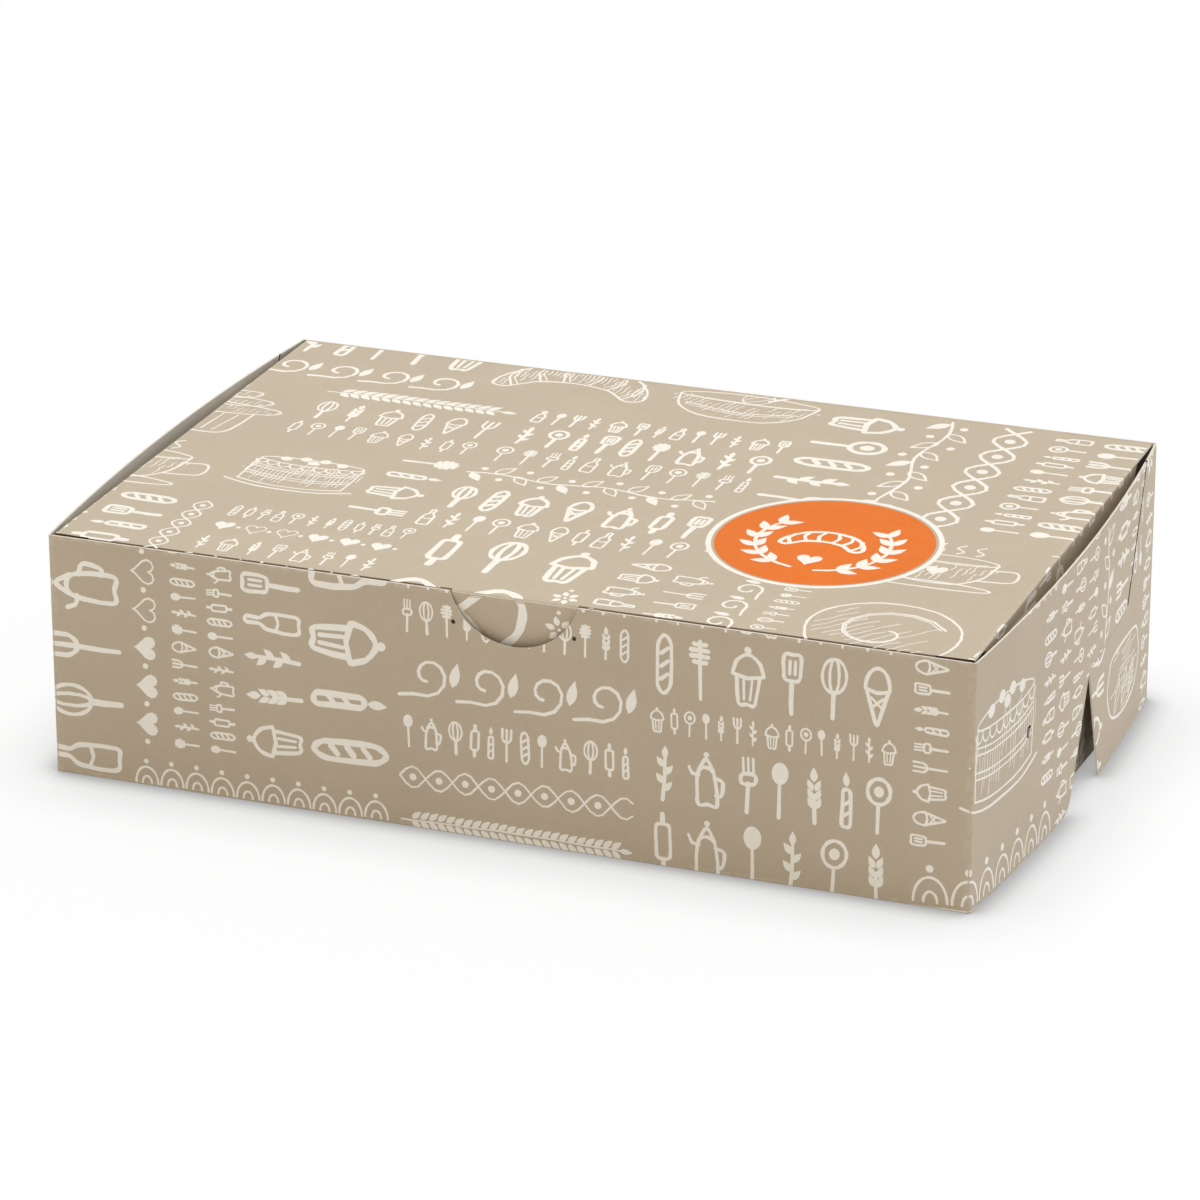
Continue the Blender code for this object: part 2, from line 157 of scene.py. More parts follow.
# Sizes of the frame
WIDTH = 250 * MM
FOLD_INNER = 0.3 * MM
WALL_LOW, WALL_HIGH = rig.box("front_wall")
BACK_LOW, BACK_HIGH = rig.box("back_wall")
BOARD = WALL_HIGH.y - WALL_LOW.y
DEPTH = BACK_HIGH.y - WALL_LOW.y
BOW = cad_high.x - WIDTH / 2
GAP = BACK_LOW.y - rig.box("base_panel")[1].y
FOLD_RADIUS = BOARD + FOLD_INNER
FOLD_EDGE = 0.85 * BOARD
BOW_RADIUS = ((DEPTH / 2) ** 2 + BOW ** 2) / (2 * BOW)
BOW_CENTRE_X = WIDTH / 2 + BOW - BOW_RADIUS
FOLD_Y = DEPTH / 2 - FOLD_RADIUS
FOLD_X = BOW_CENTRE_X + sqrt((BOW_RADIUS - FOLD_RADIUS) ** 2 - FOLD_Y ** 2)
BOW_END_ANGLE = atan2(FOLD_Y, FOLD_X - BOW_CENTRE_X)
INNER_HALF_WIDTH = WALL_HIGH.x
JOINTS = {joint["name"]: joint for joint in frame["record"]["behaviour"]["joints"]}
HINGE = Vector(JOINTS["lid_hinge"]["pos_m"])
ALONG_LID = Vector(JOINTS["side_flap_crease_right"]["axis"])
LID_OUT = Vector((1, 0, 0)).cross(ALONG_LID)
LID_LENGTH = (HINGE.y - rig.box("lid_panel")[0].y) / ALONG_LID.y
SLIT_FOOT = 0.51 * BACK_HIGH.z
CRESCENT = ((0.232 - 0.5) * DEPTH, 0.48 * BACK_HIGH.z)
CRESCENT_REACH = 2.4 * MM

# Sizes of the ink, the fold strips, the notch and the seal
INK = 0.035 * MM
SUNK = 0.05 * MM
PROUD = 0.015 * MM
STRIP_DEPTH = 0.2 * MM
STRIP_REACH = 0.8 * MM
SCORE_OVERRUN = 9 * MM
SAME_PLANE = 0.05 * MM
BLEED = Vector((3 * MM, 3 * MM))
NOTCH_CENTRE = 4.5 * MM
NOTCH_HALF = 17 * MM
HALF_FRONT_FOLD = 114 * MM
NICK, NICKS_APART = 0.8 * MM, 41.1 * MM
SEAL_RADIUS = 30.4 * MM
SEAL_BORDER = 1.4 * MM
SEAL_LINE = 0.75 * MM
SEAL_FROM_HINGE = 95.2 * MM
SEAL_X = 65 * MM
WREATH_SHARE, BAKE_SHARE, HEART_SHARE, HEART_DROP_SHARE = 0.58, 0.40, 0.22, 0.42
WREATH_STROKE, BAKE_STROKE = 0.5 * MM, 0.42 * MM

# Layout of the print

# A cell that is larger than HALVED both ways is cut in two, at a share of its length within MIDDLE. Bands
# are peeled off a smaller one until it is under THIN, or is a near square: wider than SQUARE's first value,
# and shorter than its second and than its third times the width. A band lies flat where the cell is wider
# than LYING[1] times its height, or LYING[2] times it when a draw is over LYING[0].
HALVED, MIDDLE = (40 * MM, 80 * MM), (0.40, 0.60)
THIN, SQUARE = 19 * MM, (25 * MM, 56 * MM, 1.8)
LEAST_CELL, LEAST_REST = 5 * MM, 9 * MM
BAND_HEIGHTS, BAND_MOST = (10, 12, 12, 14, 16, 19, 24), 0.7
LYING = (0.7, 0.8, 1.6)
GUTTER = 1.7 * MM

# What fills a cell. SPACING and PICTURE_LONGEST are in hundredths of the cell's shorter side, which
# STROKE_SHARES are shares of, and all strokes are half widths. KINDS_IN_ROW small things take turns in a
# row, and the last UNREPEATED pictures and bands aren't used again. ZONES are the seeds and faces of the
# parts that are filled apart.
SPACING, PICTURE_LONGEST = 22, 220
PICTURE_LEAST, PICTURE_STROKE = 16 * MM, 0.27 * MM
STROKE_SHARES, STROKE_LEAST, BAND_STROKE = (0.030, 0.043), 0.2 * MM, 0.85
BAND_CHANCE = 0.22
KINDS_IN_ROW = 7
UNREPEATED = 4
ZONES = ((2, ("lid", "tuck", "side", "hinge", "back", "rear")), (4, ("front_wall", "front_lock")),
         (3, ("end",)))

# Reach and depth of the floor's contact shades; strength, colour, spread and side of the suns
SHADES = ((30 * MM, 0.42), (9 * MM, 0.62), (5 * MM, 0.5))
SUNS = {"key": (1.25, (1.0, 1.0, 0.98), 50, (-0.03, 0.30, 0.95)),
        "side": (0.9, (0.93, 0.96, 1.06), 60, (0.66, 0.64, 0.40)),
        "fill": (0.45, (1.0, 0.76, 0.43), 60, (-0.1, -1.0, 0.25))}
SKY = 0.53
WHITE, FLOOR_PAINT, SEEN_PAINT, SEEN_GLOW = (1, 1, 1, 1), (0.80, 0.80, 0.80, 1), (0.93, 0.93, 0.93, 1), 0.88
LENS, CAMERA_TILT, CAMERA_TURN = 152.7, 69.7623, 21.7745
CAMERA_AT = (464.0 * MM, -1170.1 * MM, 502.1 * MM)

# A face looks a way where its normal's share that way is over this
FACING = 0.55

# Gloss, roughness and unevenness, the limits of the board's tones, and the width of its worn edges
BOARD_ROUGHNESS, INK_ROUGHNESS = 0.56, 0.5
BOARD_GLOSS, INK_GLOSS, CREASE_GLOSS = 0.25, 0.14, 0.05
BUMP, INK_BUMP, TOOTH, WARP = 0.25, 0.15, 0.02 * MM, 0.25 * MM
TONES = (0.965, 1.03)
WORN = (0.1 * MM, 1.1 * MM)

# Colours, linear
TAUPE = (0.540, 0.450, 0.334, 1)
CREAM = (0.94, 0.90, 0.81, 1)
ORANGE = (0.80, 0.172, 0.006, 1)
CUT_EDGE = (0.80, 0.73, 0.61, 1)
INSIDE = (0.66, 0.61, 0.52, 1)
# Painted shade for the edges of the slit and the small cut in the lock flaps
PAINTED_CUT_SHADE = (0.07, 0.05, 0.035, 1)
# Painted shade for the lid's front crease, where it drops behind the front wall's top edge
PAINTED_CREASE_SHADE = (0.085, 0.056, 0.030, 1)

# The lid's front crease gets painted shade up to the first y, and none from the second
PAINTED_CREASE_SPAN = (WALL_LOW.y + 1.5 * MM, WALL_LOW.y + 1.8 * MM)


# Materials

class Nodes:
    """A material's node tree, with short calls for the nodes that the materials share."""

    def __init__(self, name, world=None):
        self.material = world or bpy.data.materials.new(name)
        self.material.use_nodes = True
        self.tree = self.material.node_tree
        if world is None:
            self.shader = self.tree.nodes["Principled BSDF"]
            place = self.tree.nodes.new("ShaderNodeTexCoord")
            self.where = place.outputs["Object"]
            self.facing = place.outputs["Normal"]

    def add(self, kind, inputs, **settings):
        node = self.tree.nodes.new("ShaderNode" + kind)
        for name, value in settings.items():
            setattr(node, name, value)
        self.fill(node, inputs)
        return node

    def fill(self, node, inputs):
        """Give the node's inputs a socket or a value each."""
        for key, value in inputs.items():
            if isinstance(value, bpy.types.NodeSocket):
                self.tree.links.new(value, node.inputs[key])
            else:
                node.inputs[key].default_value = value

    def set(self, name, value):
        self.fill(self.shader, {name: value})

    def finish(self, shader, output):
        self.fill(self.tree.nodes[output], {"Surface": shader})

    def math(self, operation, first, second=0.0):
        return self.add("Math", {0: first, 1: second}, operation=operation).outputs[0]

    def looks(self, direction):
        """1 where the surface looks that way."""
        return self.math('GREATER_THAN', self.dot(self.facing, direction), FACING)

    def split(self):
        """X, Y and Z of the point."""
        return self.add("SeparateXYZ", {0: self.where}).outputs

    def dot(self, vector, direction):
        node = self.add("VectorMath", {0: vector, 1: direction}, operation='DOT_PRODUCT')
        return node.outputs["Value"]

    def noise(self, scale, detail, stretch=(1, 1, 1)):
        moved = self.add("Mapping", {"Vector": self.where, "Scale": stretch})
        node = self.add("TexNoise", {"Vector": moved.outputs[0], "Scale": scale, "Detail": detail,
                                     "Roughness": 0.6})
        return node.outputs["Fac"]

    def ramp(self, value, low, high, to_low=0.0, to_high=1.0):
        node = self.add("MapRange", {0: value, 1: low, 2: high, 3: to_low, 4: to_high})
        return node.outputs[0]

    def mix(self, share, first, second, blend='MIX'):
        node = self.add("Mix", {0: share, 6: first, 7: second}, data_type='RGBA', blend_type=blend)
        return node.outputs[2]

    def either(self, share, first, second):
        """Mix of two shaders."""
        return self.add("MixShader", {0: share, 1: first, 2: second}).outputs[0]


def add_grain(nodes, colour, roughness, bump, warp):
    """Board's own look on a colour: clouding, fibres, a fine tooth and slight unevenness."""
    cloud = nodes.ramp(nodes.noise(26, 3), 0.3, 0.7, *TONES)
    fibre = nodes.ramp(nodes.noise(900, 4, (1, 0.35, 1)), 0.25, 0.75, *TONES)
    tone = nodes.math('MULTIPLY', cloud, fibre)
    shade = nodes.add("CombineColor", {0: tone, 1: tone, 2: tone}).outputs[0]
    nodes.set("Base Color", nodes.mix(1.0, colour, shade, 'MULTIPLY'))
    nodes.set("Roughness", nodes.ramp(nodes.noise(160, 4), 0.3, 0.7, roughness - 0.05, roughness + 0.06))
    nodes.set("Specular IOR Level", BOARD_GLOSS)
    tooth = nodes.add("Bump", {"Height": nodes.noise(2600, 3), "Strength": bump, "Distance": TOOTH})
    if warp:
        tooth = nodes.add("Bump", {"Height": nodes.noise(11, 1), "Strength": 1.0, "Distance": warp,
                                   "Normal": tooth.outputs[0]})
    nodes.set("Normal", tooth.outputs[0])


def printed_colour(nodes, wear):
    """Taupe print, rubbed a little lighter where wear, a socket or a number, is high."""
    rubbed = nodes.math('MULTIPLY', wear, nodes.ramp(nodes.noise(420, 5), 0.42, 0.68, 0.0, 0.5))
    return nodes.mix(rubbed, TAUPE, CUT_EDGE)


def edge_wear(nodes, node_name, axes):
    """1 at the panel's outer limits along two axes, falling to 0 a millimetre inside them."""
    low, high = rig.box(node_name)
    place, nearest = nodes.split(), 1.0
    for axis in axes:
        to_low = nodes.math('SUBTRACT', place[axis], low[axis])
        to_high = nodes.math('SUBTRACT', high[axis], place[axis])
        nearest = nodes.math('MINIMUM', nearest, nodes.math('MINIMUM', to_low, to_high))
    return nodes.ramp(nearest, *WORN, 1.0, 0.0)


def beside_notch(nodes, amount):
    """The given amount, but nothing along the thumb notch, where no wall shades the lid's crease."""
    off = nodes.math('ABSOLUTE', nodes.math('SUBTRACT', nodes.split()[0], NOTCH_CENTRE))
    return nodes.math('MULTIPLY', amount, nodes.math('GREATER_THAN', off, NOTCH_HALF))


def cut_edge(nodes, node_name):
    """Pale cut edge, but with painted shade in the lid's front crease and on the narrow cuts of the lock flaps."""
    if node_name == "tuck_flap":
        return nodes.mix(beside_notch(nodes, nodes.looks((0, 0, 1))), TAUPE, PAINTED_CREASE_SHADE)
    if node_name == "lid_panel":
        return nodes.mix(beside_notch(nodes, nodes.looks((0, -1, 0))), CUT_EDGE, PAINTED_CREASE_SHADE)
    if "lock_flap" not in node_name:
        return CUT_EDGE
    # Painted shade on the cut edges of the slit and of the small cut
    above = nodes.math('GREATER_THAN', nodes.split()[2], SLIT_FOOT)
    along = nodes.math('ABSOLUTE', nodes.dot(nodes.facing, (0, 1, 0)))
    slit = nodes.math('MULTIPLY', above, nodes.math('GREATER_THAN', along, FACING))
    off = nodes.add("VectorMath", {0: nodes.where, 1: (0, *CRESCENT)}, operation='SUBTRACT')
    flat = nodes.add("VectorMath", {0: off.outputs[0], 1: (0, 1, 1)}, operation='MULTIPLY')
    far = nodes.add("VectorMath", {0: flat.outputs[0]}, operation='LENGTH').outputs["Value"]
    crescent = nodes.math('LESS_THAN', far, CRESCENT_REACH)
    return nodes.mix(nodes.math('MAXIMUM', slit, crescent), CUT_EDGE, PAINTED_CUT_SHADE)


def panel_material(node_name, outsides, axes):
    """Board that is printed where it faces one of outsides, plain inside, with pale cut edges."""
    nodes = Nodes(node_name + "_board")
    facing = nodes.dot(nodes.facing, outsides[0])
    inner = nodes.math('LESS_THAN', facing, -FACING)
    for other in outsides[1:]:
        facing = nodes.math('MAXIMUM', facing, nodes.dot(nodes.facing, other))
    outer = nodes.math('GREATER_THAN', facing, FACING)
    printed = printed_colour(nodes, edge_wear(nodes, node_name, axes))
    colour = nodes.mix(outer, nodes.mix(inner, cut_edge(nodes, node_name), INSIDE), printed)
    add_grain(nodes, colour, BOARD_ROUGHNESS, BUMP, WARP)
    return nodes.material


def fold_material(name, crease=False):
    """Printed board over a fold; with crease set, it gets painted shade in the lid's crease behind the front wall."""
    nodes = Nodes(name)
    colour = printed_colour(nodes, 0.45)
    if crease:
        dark = nodes.ramp(nodes.split()[1], *PAINTED_CREASE_SPAN, 0.9, 0.0)
        colour = nodes.mix(beside_notch(nodes, dark), colour, PAINTED_CREASE_SHADE)
    add_grain(nodes, colour, BOARD_ROUGHNESS, BUMP, 0)
    if crease:
        nodes.set("Specular IOR Level", CREASE_GLOSS)
    return nodes.material


def ink_material(name, colour):
    nodes = Nodes(name)
    thin = nodes.ramp(nodes.noise(700, 5), 0.60, 0.80, 0.0, 0.12)
    add_grain(nodes, nodes.mix(thin, colour, TAUPE), INK_ROUGHNESS, INK_BUMP, 0)
    nodes.set("Specular IOR Level", INK_GLOSS)
    return nodes.material


# The blank

class Face:
    """One face of the folded blank.

    The print is laid out on the flat sheet, where s runs across the box and t along it. A face knows
    its outline there, and place(s, t, height) folds a point of the sheet to where it is on the box.
    """

    def __init__(self, name, bodies, place, rings, holes=(), scores=(), bend=None):
        self.name, self.bodies, self.place = name, bodies, place
        self.rings, self.holes, self.scores, self.bend = rings, list(holes), scores, bend

    def shift(self, across, along):
        """Move the face on the sheet without moving it on the box."""
        folded = self.place
        self.place = lambda s, t, height: folded(s - across, t - along, height)
        self.rings, self.holes, self.scores = ([[(s + across, t + along) for s, t in ring] for ring in rings]
                                               for rings in (self.rings, self.holes, self.scores))
        return self

    def limits(self):
        return corners_of(self.rings)


def corners_of(rings):
    """Lowest and highest corner of the box round the rings."""
    spots = [spot for ring in rings for spot in ring]
    return (Vector((min(s for s, t in spots), min(t for s, t in spots))),
            Vector((max(s for s, t in spots), max(t for s, t in spots))))


def signed_area(loop):
    return sum(a[0] * b[1] - b[0] * a[1] for a, b in zip(loop, loop[1:] + loop[:1])) / 2


def boundary_loops(faces):
    """Outlines and holes of a set of faces on the sheet."""
    edges = {(face[i - 1], face[i]) for face in faces for i in range(len(face))}
    onward = {first: second for first, second in edges if (second, first) not in edges}
    rings, holes = [], []
    while onward:
        start, spot = onward.popitem()
        loop = [start]
        while spot != start:
            loop.append(spot)
            spot = onward.pop(spot)
        (rings if signed_area(loop) > 0 else holes).append(loop)
    return rings, holes


def outline_of(node, flatten):
    """Outlines and holes of the faces of a packed panel that flatten puts at height 0."""
    mesh = frame["nodes"][node].data
    outside = []
    for face in mesh.polygons:
        flat = [flatten(mesh.vertices[index].co) for index in face.vertices]
        if max(abs(height) for s, t, height in flat) < SAME_PLANE:
            outside.append([(round(s, 7), round(t, 7)) for s, t, height in flat])
    return boundary_loops(outside)


def flat_face(node, body, out, along):
    across = along.cross(out)
    reach = max(vertex.co.dot(out) for vertex in frame["nodes"][node].data.vertices)

    def flatten(point):
        return point.dot(across), point.dot(along), point.dot(out) - reach

    def place(s, t, height):
        return across * s + along * t + out * (reach + height)

    return Face(node, [body], place, *outline_of(node, flatten))


def wrapped_face(node, side, way):
    """Lock flap with the rounded corner and the bow of its end; way is -1 in front and 1 behind."""
    corner = FOLD_RADIUS * (pi / 2 - BOW_END_ANGLE)

    def flatten(point):
        x, y = side * point.x, -way * point.y
        angle = atan2(y + FOLD_Y, x - FOLD_X)
        if x >= FOLD_X and angle <= -BOW_END_ANGLE:
            length = GAP + FOLD_RADIUS * (angle + pi / 2)
            height = hypot(y + FOLD_Y, x - FOLD_X) - FOLD_RADIUS
        else:
            length = GAP + corner + BOW_RADIUS * (atan2(y, x - BOW_CENTRE_X) + BOW_END_ANGLE)
            height = hypot(y, x - BOW_CENTRE_X) - BOW_RADIUS
        return side * (INNER_HALF_WIDTH + length), -way * point.z, height

    def place(s, t, height):
        length = side * s - INNER_HALF_WIDTH
        if length < GAP:
            x, y = INNER_HALF_WIDTH + length, -DEPTH / 2 - height
        elif length < GAP + corner:
            angle = (length - GAP) / FOLD_RADIUS - pi / 2
            x = FOLD_X + (FOLD_RADIUS + height) * cos(angle)
            y = -FOLD_Y + (FOLD_RADIUS + height) * sin(angle)
        else:
            angle = (length - GAP - corner) / BOW_RADIUS - BOW_END_ANGLE
            x = BOW_CENTRE_X + (BOW_RADIUS + height) * cos(angle)
            y = (BOW_RADIUS + height) * sin(angle)
        return Vector((side * x, -way * y, -way * t))

    rings, holes = outline_of(node, flatten)
    top = WALL_HIGH.z if way < 0 else BACK_HIGH.z
    low, high = sorted((-way * FOLD_EDGE, -way * top))
    near, far = sorted((side * INNER_HALF_WIDTH, side * (INNER_HALF_WIDTH + GAP)))
    rings.append([(near, low), (far, low), (far, high), (near, high)])
    scores = []
    for step in range(6):
        s = side * (INNER_HALF_WIDTH + GAP + corner * step / 5)
        scores.append(((s, low - SCORE_OVERRUN), (s, high + SCORE_OVERRUN)))
    return Face(node, ["box"], place, rings, holes, scores)


def fold_face(name, bodies, path, run, spans, along_t, bend):
    """Face over a crease, with path as its section; run is the way along it, and spans its stretches."""
    lengths = [0.0]
    for (first, _), (second, _) in zip(path, path[1:]):
        lengths.append(lengths[-1] + (second - first).length)

    def place(s, t, height):
        length, reach = (t, s) if along_t else (s, t)
        length = min(max(length, 0), lengths[-1])
        step = sum(length > other for other in lengths[1:-1])
        share = (length - lengths[step]) / (lengths[step + 1] - lengths[step])
        out = path[step][1].lerp(path[step + 1][1], share).normalized()
        return path[step][0].lerp(path[step + 1][0], share) + out * height + run * reach

    def spot(length, reach):
        return (reach, length) if along_t else (length, reach)

    rings, scores = [], []
    for low, high in spans:
        rings.append([spot(0, low), spot(lengths[-1], low), spot(lengths[-1], high), spot(0, high)])
        scores += [(spot(length, low), spot(length, high)) for length in lengths[1:-1]]
    return Face(name, bodies, place, rings, (), scores, bend)


# Drawing

# A mark is (points, weight): a stroke, weight times as wide as the motif's own strokes, or a filled shape
# where weight is 0. Motifs are MOTIF units high, and their knots are written x, y, x, y. Turns, starts and
# ends are in whole turns.
MOTIF = 100


def shares(*values):
    """Shares of a motif's height, from its units."""
    return [value / MOTIF for value in values]


def knot(x, y):
    """Point of a motif, from its units."""
    return Vector(shares(x, y))


def heading(turn):
    angle = tau * turn
    return Vector((cos(angle), sin(angle)))


def turned(points, turn, x=0, y=0):
    """The points turned about 0, 0 and moved by x, y."""
    spin, moved = Matrix.Rotation(tau * turn, 2), []
    for point in points:
        point = point.copy()
        point.rotate(spin)
        moved.append(point + Vector((x, y)))
    return moved


def arc_points(x, y, across, high, start, end, turn=0):
    count = max(4, ceil(abs(end - start) * 28))
    angles = [tau * (start + (end - start) * step / count) for step in range(count + 1)]
    return turned([Vector((across * cos(angle), high * sin(angle))) for angle in angles], turn, x, y)


def disc(x, y, across, high=None, turn=0):
    return arc_points(x, y, across, high or across, 0, 1, turn)[:-1]


def smooth(values, closed=False):
    """Smooth curve through the knots."""
    knots = [knot(x, y) for x, y in zip(values[::2], values[1::2])]
    count = len(knots)
    last = count if closed else count - 1
    points = []
    for index in range(last):
        a, b, c, d = (knots[other % count if closed else min(max(other, 0), last)]
                      for other in range(index - 1, index + 3))
        for step in range(6):
            t = step / 6
            points.append(0.5 * (2 * b + (c - a) * t + (2 * a - 5 * b + 4 * c - d) * t ** 2
                                 + (3 * b - a - 3 * c + d) * t ** 3))
    return points if closed else points + [knots[-1]]


def closing(points, weight):
    """Closed stroke, or a filled shape where weight is 0."""
    return points + points[:2] if weight else points, weight


def line(*values, weight=1.0):
    return smooth(values), weight


def ring(*values, weight=1.0):
    return closing(smooth(values, True), weight)


def oval(x, y, across, high, weight=1.0, turn=0):
    return closing(disc(*shares(x, y, across, high), turn), weight)


def arc(x, y, across, high, start, end, weight=1.0):
    return arc_points(*shares(x, y, across, high), start, end), weight


def dot(x, y, across, high=None):
    return closing(disc(*shares(x, y, across, high or across)), 0)


def leaf(x, y, length, fat, turn, weight=0):
    """Leaf from its foot at x, y, filled or in outline."""
    x, y, length, fat = shares(x, y, length, fat)
    near, far = [], []
    for step in range(1, 6):
        wide = fat * sin(pi * (step / 6) ** 0.8)
        near.append(Vector((length * step / 6, -wide)))
        far.append(Vector((length * step / 6, wide)))
    points = turned([Vector((0, 0)), *near, Vector((length, 0)), *far[::-1]], turn, x, y)
    return closing(points, weight)


def heart(x, y, size, weight=0):
    x, y, size = shares(x, y, size)
    points = []
    for step in range(20):
        t = tau * step / 20
        high = 13 * cos(t) - 5 * cos(2 * t) - 2 * cos(3 * t) - cos(4 * t)
        points.append(Vector((x - size * sin(t) ** 3, y + size * (high + 2.5) / 15)))
    return closing(points, weight)


def hatch(values, gap, turn, weight, keep):
    """Strokes of shading inside a closed curve, gap apart, of uneven length."""
    rng, gap = random.Random(len(values) // 2), gap / MOTIF
    edge = turned(smooth(values, True), -turn)
    marks, y = [], min(point.y for point in edge) + gap / 2
    while y < max(point.y for point in edge):
        cuts = sorted(a.x + (b.x - a.x) * (y - a.y) / (b.y - a.y)
                      for a, b in zip(edge, edge[1:] + edge[:1]) if (a.y > y) != (b.y > y))
        for first, second in zip(cuts[::2], cuts[1::2]):
            length = (second - first) * keep * rng.uniform(0.55, 1.0)
            start = first + (second - first - length) * rng.uniform(0.1, 0.9)
            stroke = [Vector((start + length * step / 3, y + 0.12 * gap * (-1) ** step)) for step in range(4)]
            marks.append((turned(stroke, turn), weight))
        y += gap * rng.uniform(0.8, 1.2)
    return marks


# Upright pictures of kitchen things and bakes, as (width, marks)
SMALL_THINGS = (
    # fork
    (36, [line(18, 0, 17, 30, 18, 58), line(4, 100, 5, 70, 18, 58, 31, 70, 32, 100), line(18, 98, 18, 62)]),
    # spoon
    (34, [dot(17, 80, 15, 20), line(17, 62, 18, 30, 17, 0)]),
    # whisk
    (46, [line(23, 0, 22, 22, 23, 42, weight=1.3), oval(23, 70, 20, 29, 0.8), oval(23, 70, 8, 29, 0.8)]),
    # slotted turner
    (36, [ring(5, 60, 4, 96, 18, 99, 32, 96, 31, 60, 18, 55), line(14, 66, 14, 88, weight=0.8),
          line(23, 66, 23, 88, weight=0.8), line(18, 54, 17, 27, 18, 0, weight=1.2)]),
    # rolling pin
    (32, [ring(5, 24, 4, 50, 5, 76, 16, 80, 27, 76, 28, 50, 27, 24, 16, 20), line(16, 1, 16, 18, weight=1.4),
          line(16, 82, 16, 99, weight=1.4)]),
    # ear of wheat
    (42, [line(21, 0, 20, 25, 21, 50), leaf(21, 74, 27, 7, 0.25)]
         + [leaf(21 + 2 * way, y, 23, 5.5, 0.25 - 0.07 * way) for y in (26, 42, 58) for way in (1, -1)]),
    # candle
    (24, [ring(5, 3, 5, 34, 6, 64, 18, 64, 19, 34, 19, 3), line(6, 18, 18, 28, weight=0.8),
          line(6, 38, 18, 48, weight=0.8), leaf(12, 72, 27, 6, 0.25)]),
    # ice cream
    (48, [line(6, 58, 15, 28, 24, 1, 33, 28, 42, 58), arc(24, 62, 20, 34, 0, 0.5),
          line(4, 60, 24, 55, 44, 60), line(16, 30, 34, 46, weight=0.7), line(32, 30, 14, 46, weight=0.7)]),
    # lollipop
    (46, [oval(23, 74, 20, 23), dot(23, 74, 9, 10), line(23, 50, 23, 25, 22, 0)]),
    # milk bottle
    (38, [ring(14, 97, 14, 74, 5, 56, 4, 8, 19, 3, 34, 8, 33, 56, 24, 74, 24, 97),
          line(6, 44, 19, 40, 32, 44, weight=0.8)]),
    # baguette
    (32, [ring(16, 1, 5, 16, 4, 50, 5, 84, 16, 99, 27, 84, 28, 50, 27, 16)]
         + [line(10, y, 22, y + 10) for y in (24, 46, 68)]),
    # pastry brush
    (34, [line(17, 0, 17, 28, 17, 52, weight=1.2), ring(6, 52, 6, 68, 28, 68, 28, 52)]
         + [line(x, 72, x - 1, 98, weight=0.7) for x in (8, 17, 26)]),
    # sprig
    (42, [line(20, 0, 22, 45, 21, 80)]
         + [leaf(21, y, 24, 6, 0.25 - 0.11 * way)
            for y, way in ((16, 1), (30, -1), (46, 1), (60, -1), (76, 0))]),
    # cup cake
    (62, [line(12, 48, 17, 4, 31, 2, 45, 4, 50, 48), line(24, 42, 26, 10, weight=0.7),
          line(38, 42, 36, 10, weight=0.7), line(5, 52, 31, 46, 57, 52),
          line(5, 54, 12, 74, 31, 86, 50, 74, 57, 54), dot(31, 93, 6)]),
    # coffee pot
    (66, [ring(16, 4, 20, 62, 46, 62, 52, 4, 34, 2), line(20, 64, 33, 84, 46, 64),
          line(20, 54, 8, 56, 2, 68, weight=0.9), line(48, 52, 63, 46, 60, 22, 50, 20), dot(33, 92, 5)]),
    # honey dipper
    (40, [line(20, 0, 20, 28, 20, 97)]
         + [line(20 - wide, y, 20, y - 1, 20 + wide, y, weight=1.3)
            for y, wide in ((62, 10), (72, 15), (82, 15), (92, 10))]),
)


def ear_band(length):
    """Ears of wheat laid end to end."""
    marks = [line(0, 44, length / 2, 54, length - 50, 50)]
    x = 45
    while x < length - 75:
        marks += [leaf(x, 54, 52, 12, 0.105), leaf(x, 44, 52, 12, -0.105)]
        x += 36
    return marks + [leaf(length - 58, 50, 55, 11, 0)]


def sprig_band(length):
    knots = [(x, 50 + 10 * sin(0.026 * x)) for x in range(0, int(length) + 1, 50)]
    marks = [line(*sum(knots, ()))]
    for index, (x, y) in enumerate(knots[:-1]):
        up = 1 if index % 2 else -1
        marks += [leaf(x + 10, y, 52, 12, up * 0.14, 0.8 if index % 4 else 0), dot(x + 30, y - up * 30, 8)]
    return marks


def spaced(length, pitch):
    """Centres of the units of a band, and their true pitch."""
    count = max(1, round(length / pitch))
    return [(index + 0.5) * length / count for index in range(count)], length / count


def heart_band(length):
    marks = []
    for x in spaced(length, 115)[0]:
        marks += [heart(x - 12, 50, 38, 0 if int(x / 50) % 3 else 1), dot(x + 46, 50, 9)]
    return marks


def scallop_band(length):
    marks = [line(0, 10, length / 2, 8, length, 10)]
    centres, pitch = spaced(length, 85)
    for x in centres:
        marks += [arc(x, 22, pitch * 0.44, 52, 0, 0.5), arc(x, 22, pitch * 0.18, 22, 0, 0.5), dot(x, 92, 8)]
    return marks


def flower_band(length):
    marks = []
    for x in spaced(length, 115)[0]:
        for petal in range(6):
            turn = petal / 6 + 0.04
            foot = heading(turn)
            marks.append(leaf(x + 13 * foot.x, 50 + 13 * foot.y, 33, 10, turn))
        marks += [dot(x, 50, 6), dot(x + 57, 50, 7)]
    return marks


def curl_band(length):
    marks = []
    centres, pitch = spaced(length, 105)
    for x in centres:
        points = [knot(x - pitch / 2, 12), knot(x - pitch / 4, 15)]
        for step in range(12):
            angle, radius = -0.5 * pi + step * 0.55, 36 * (1 - step / 16)
            points.append(knot(x + radius * cos(angle), 50 + radius * sin(angle)))
        marks += [(points, 1), leaf(x + pitch * 0.42, 34, 45, 9, 0.22)]
    return marks


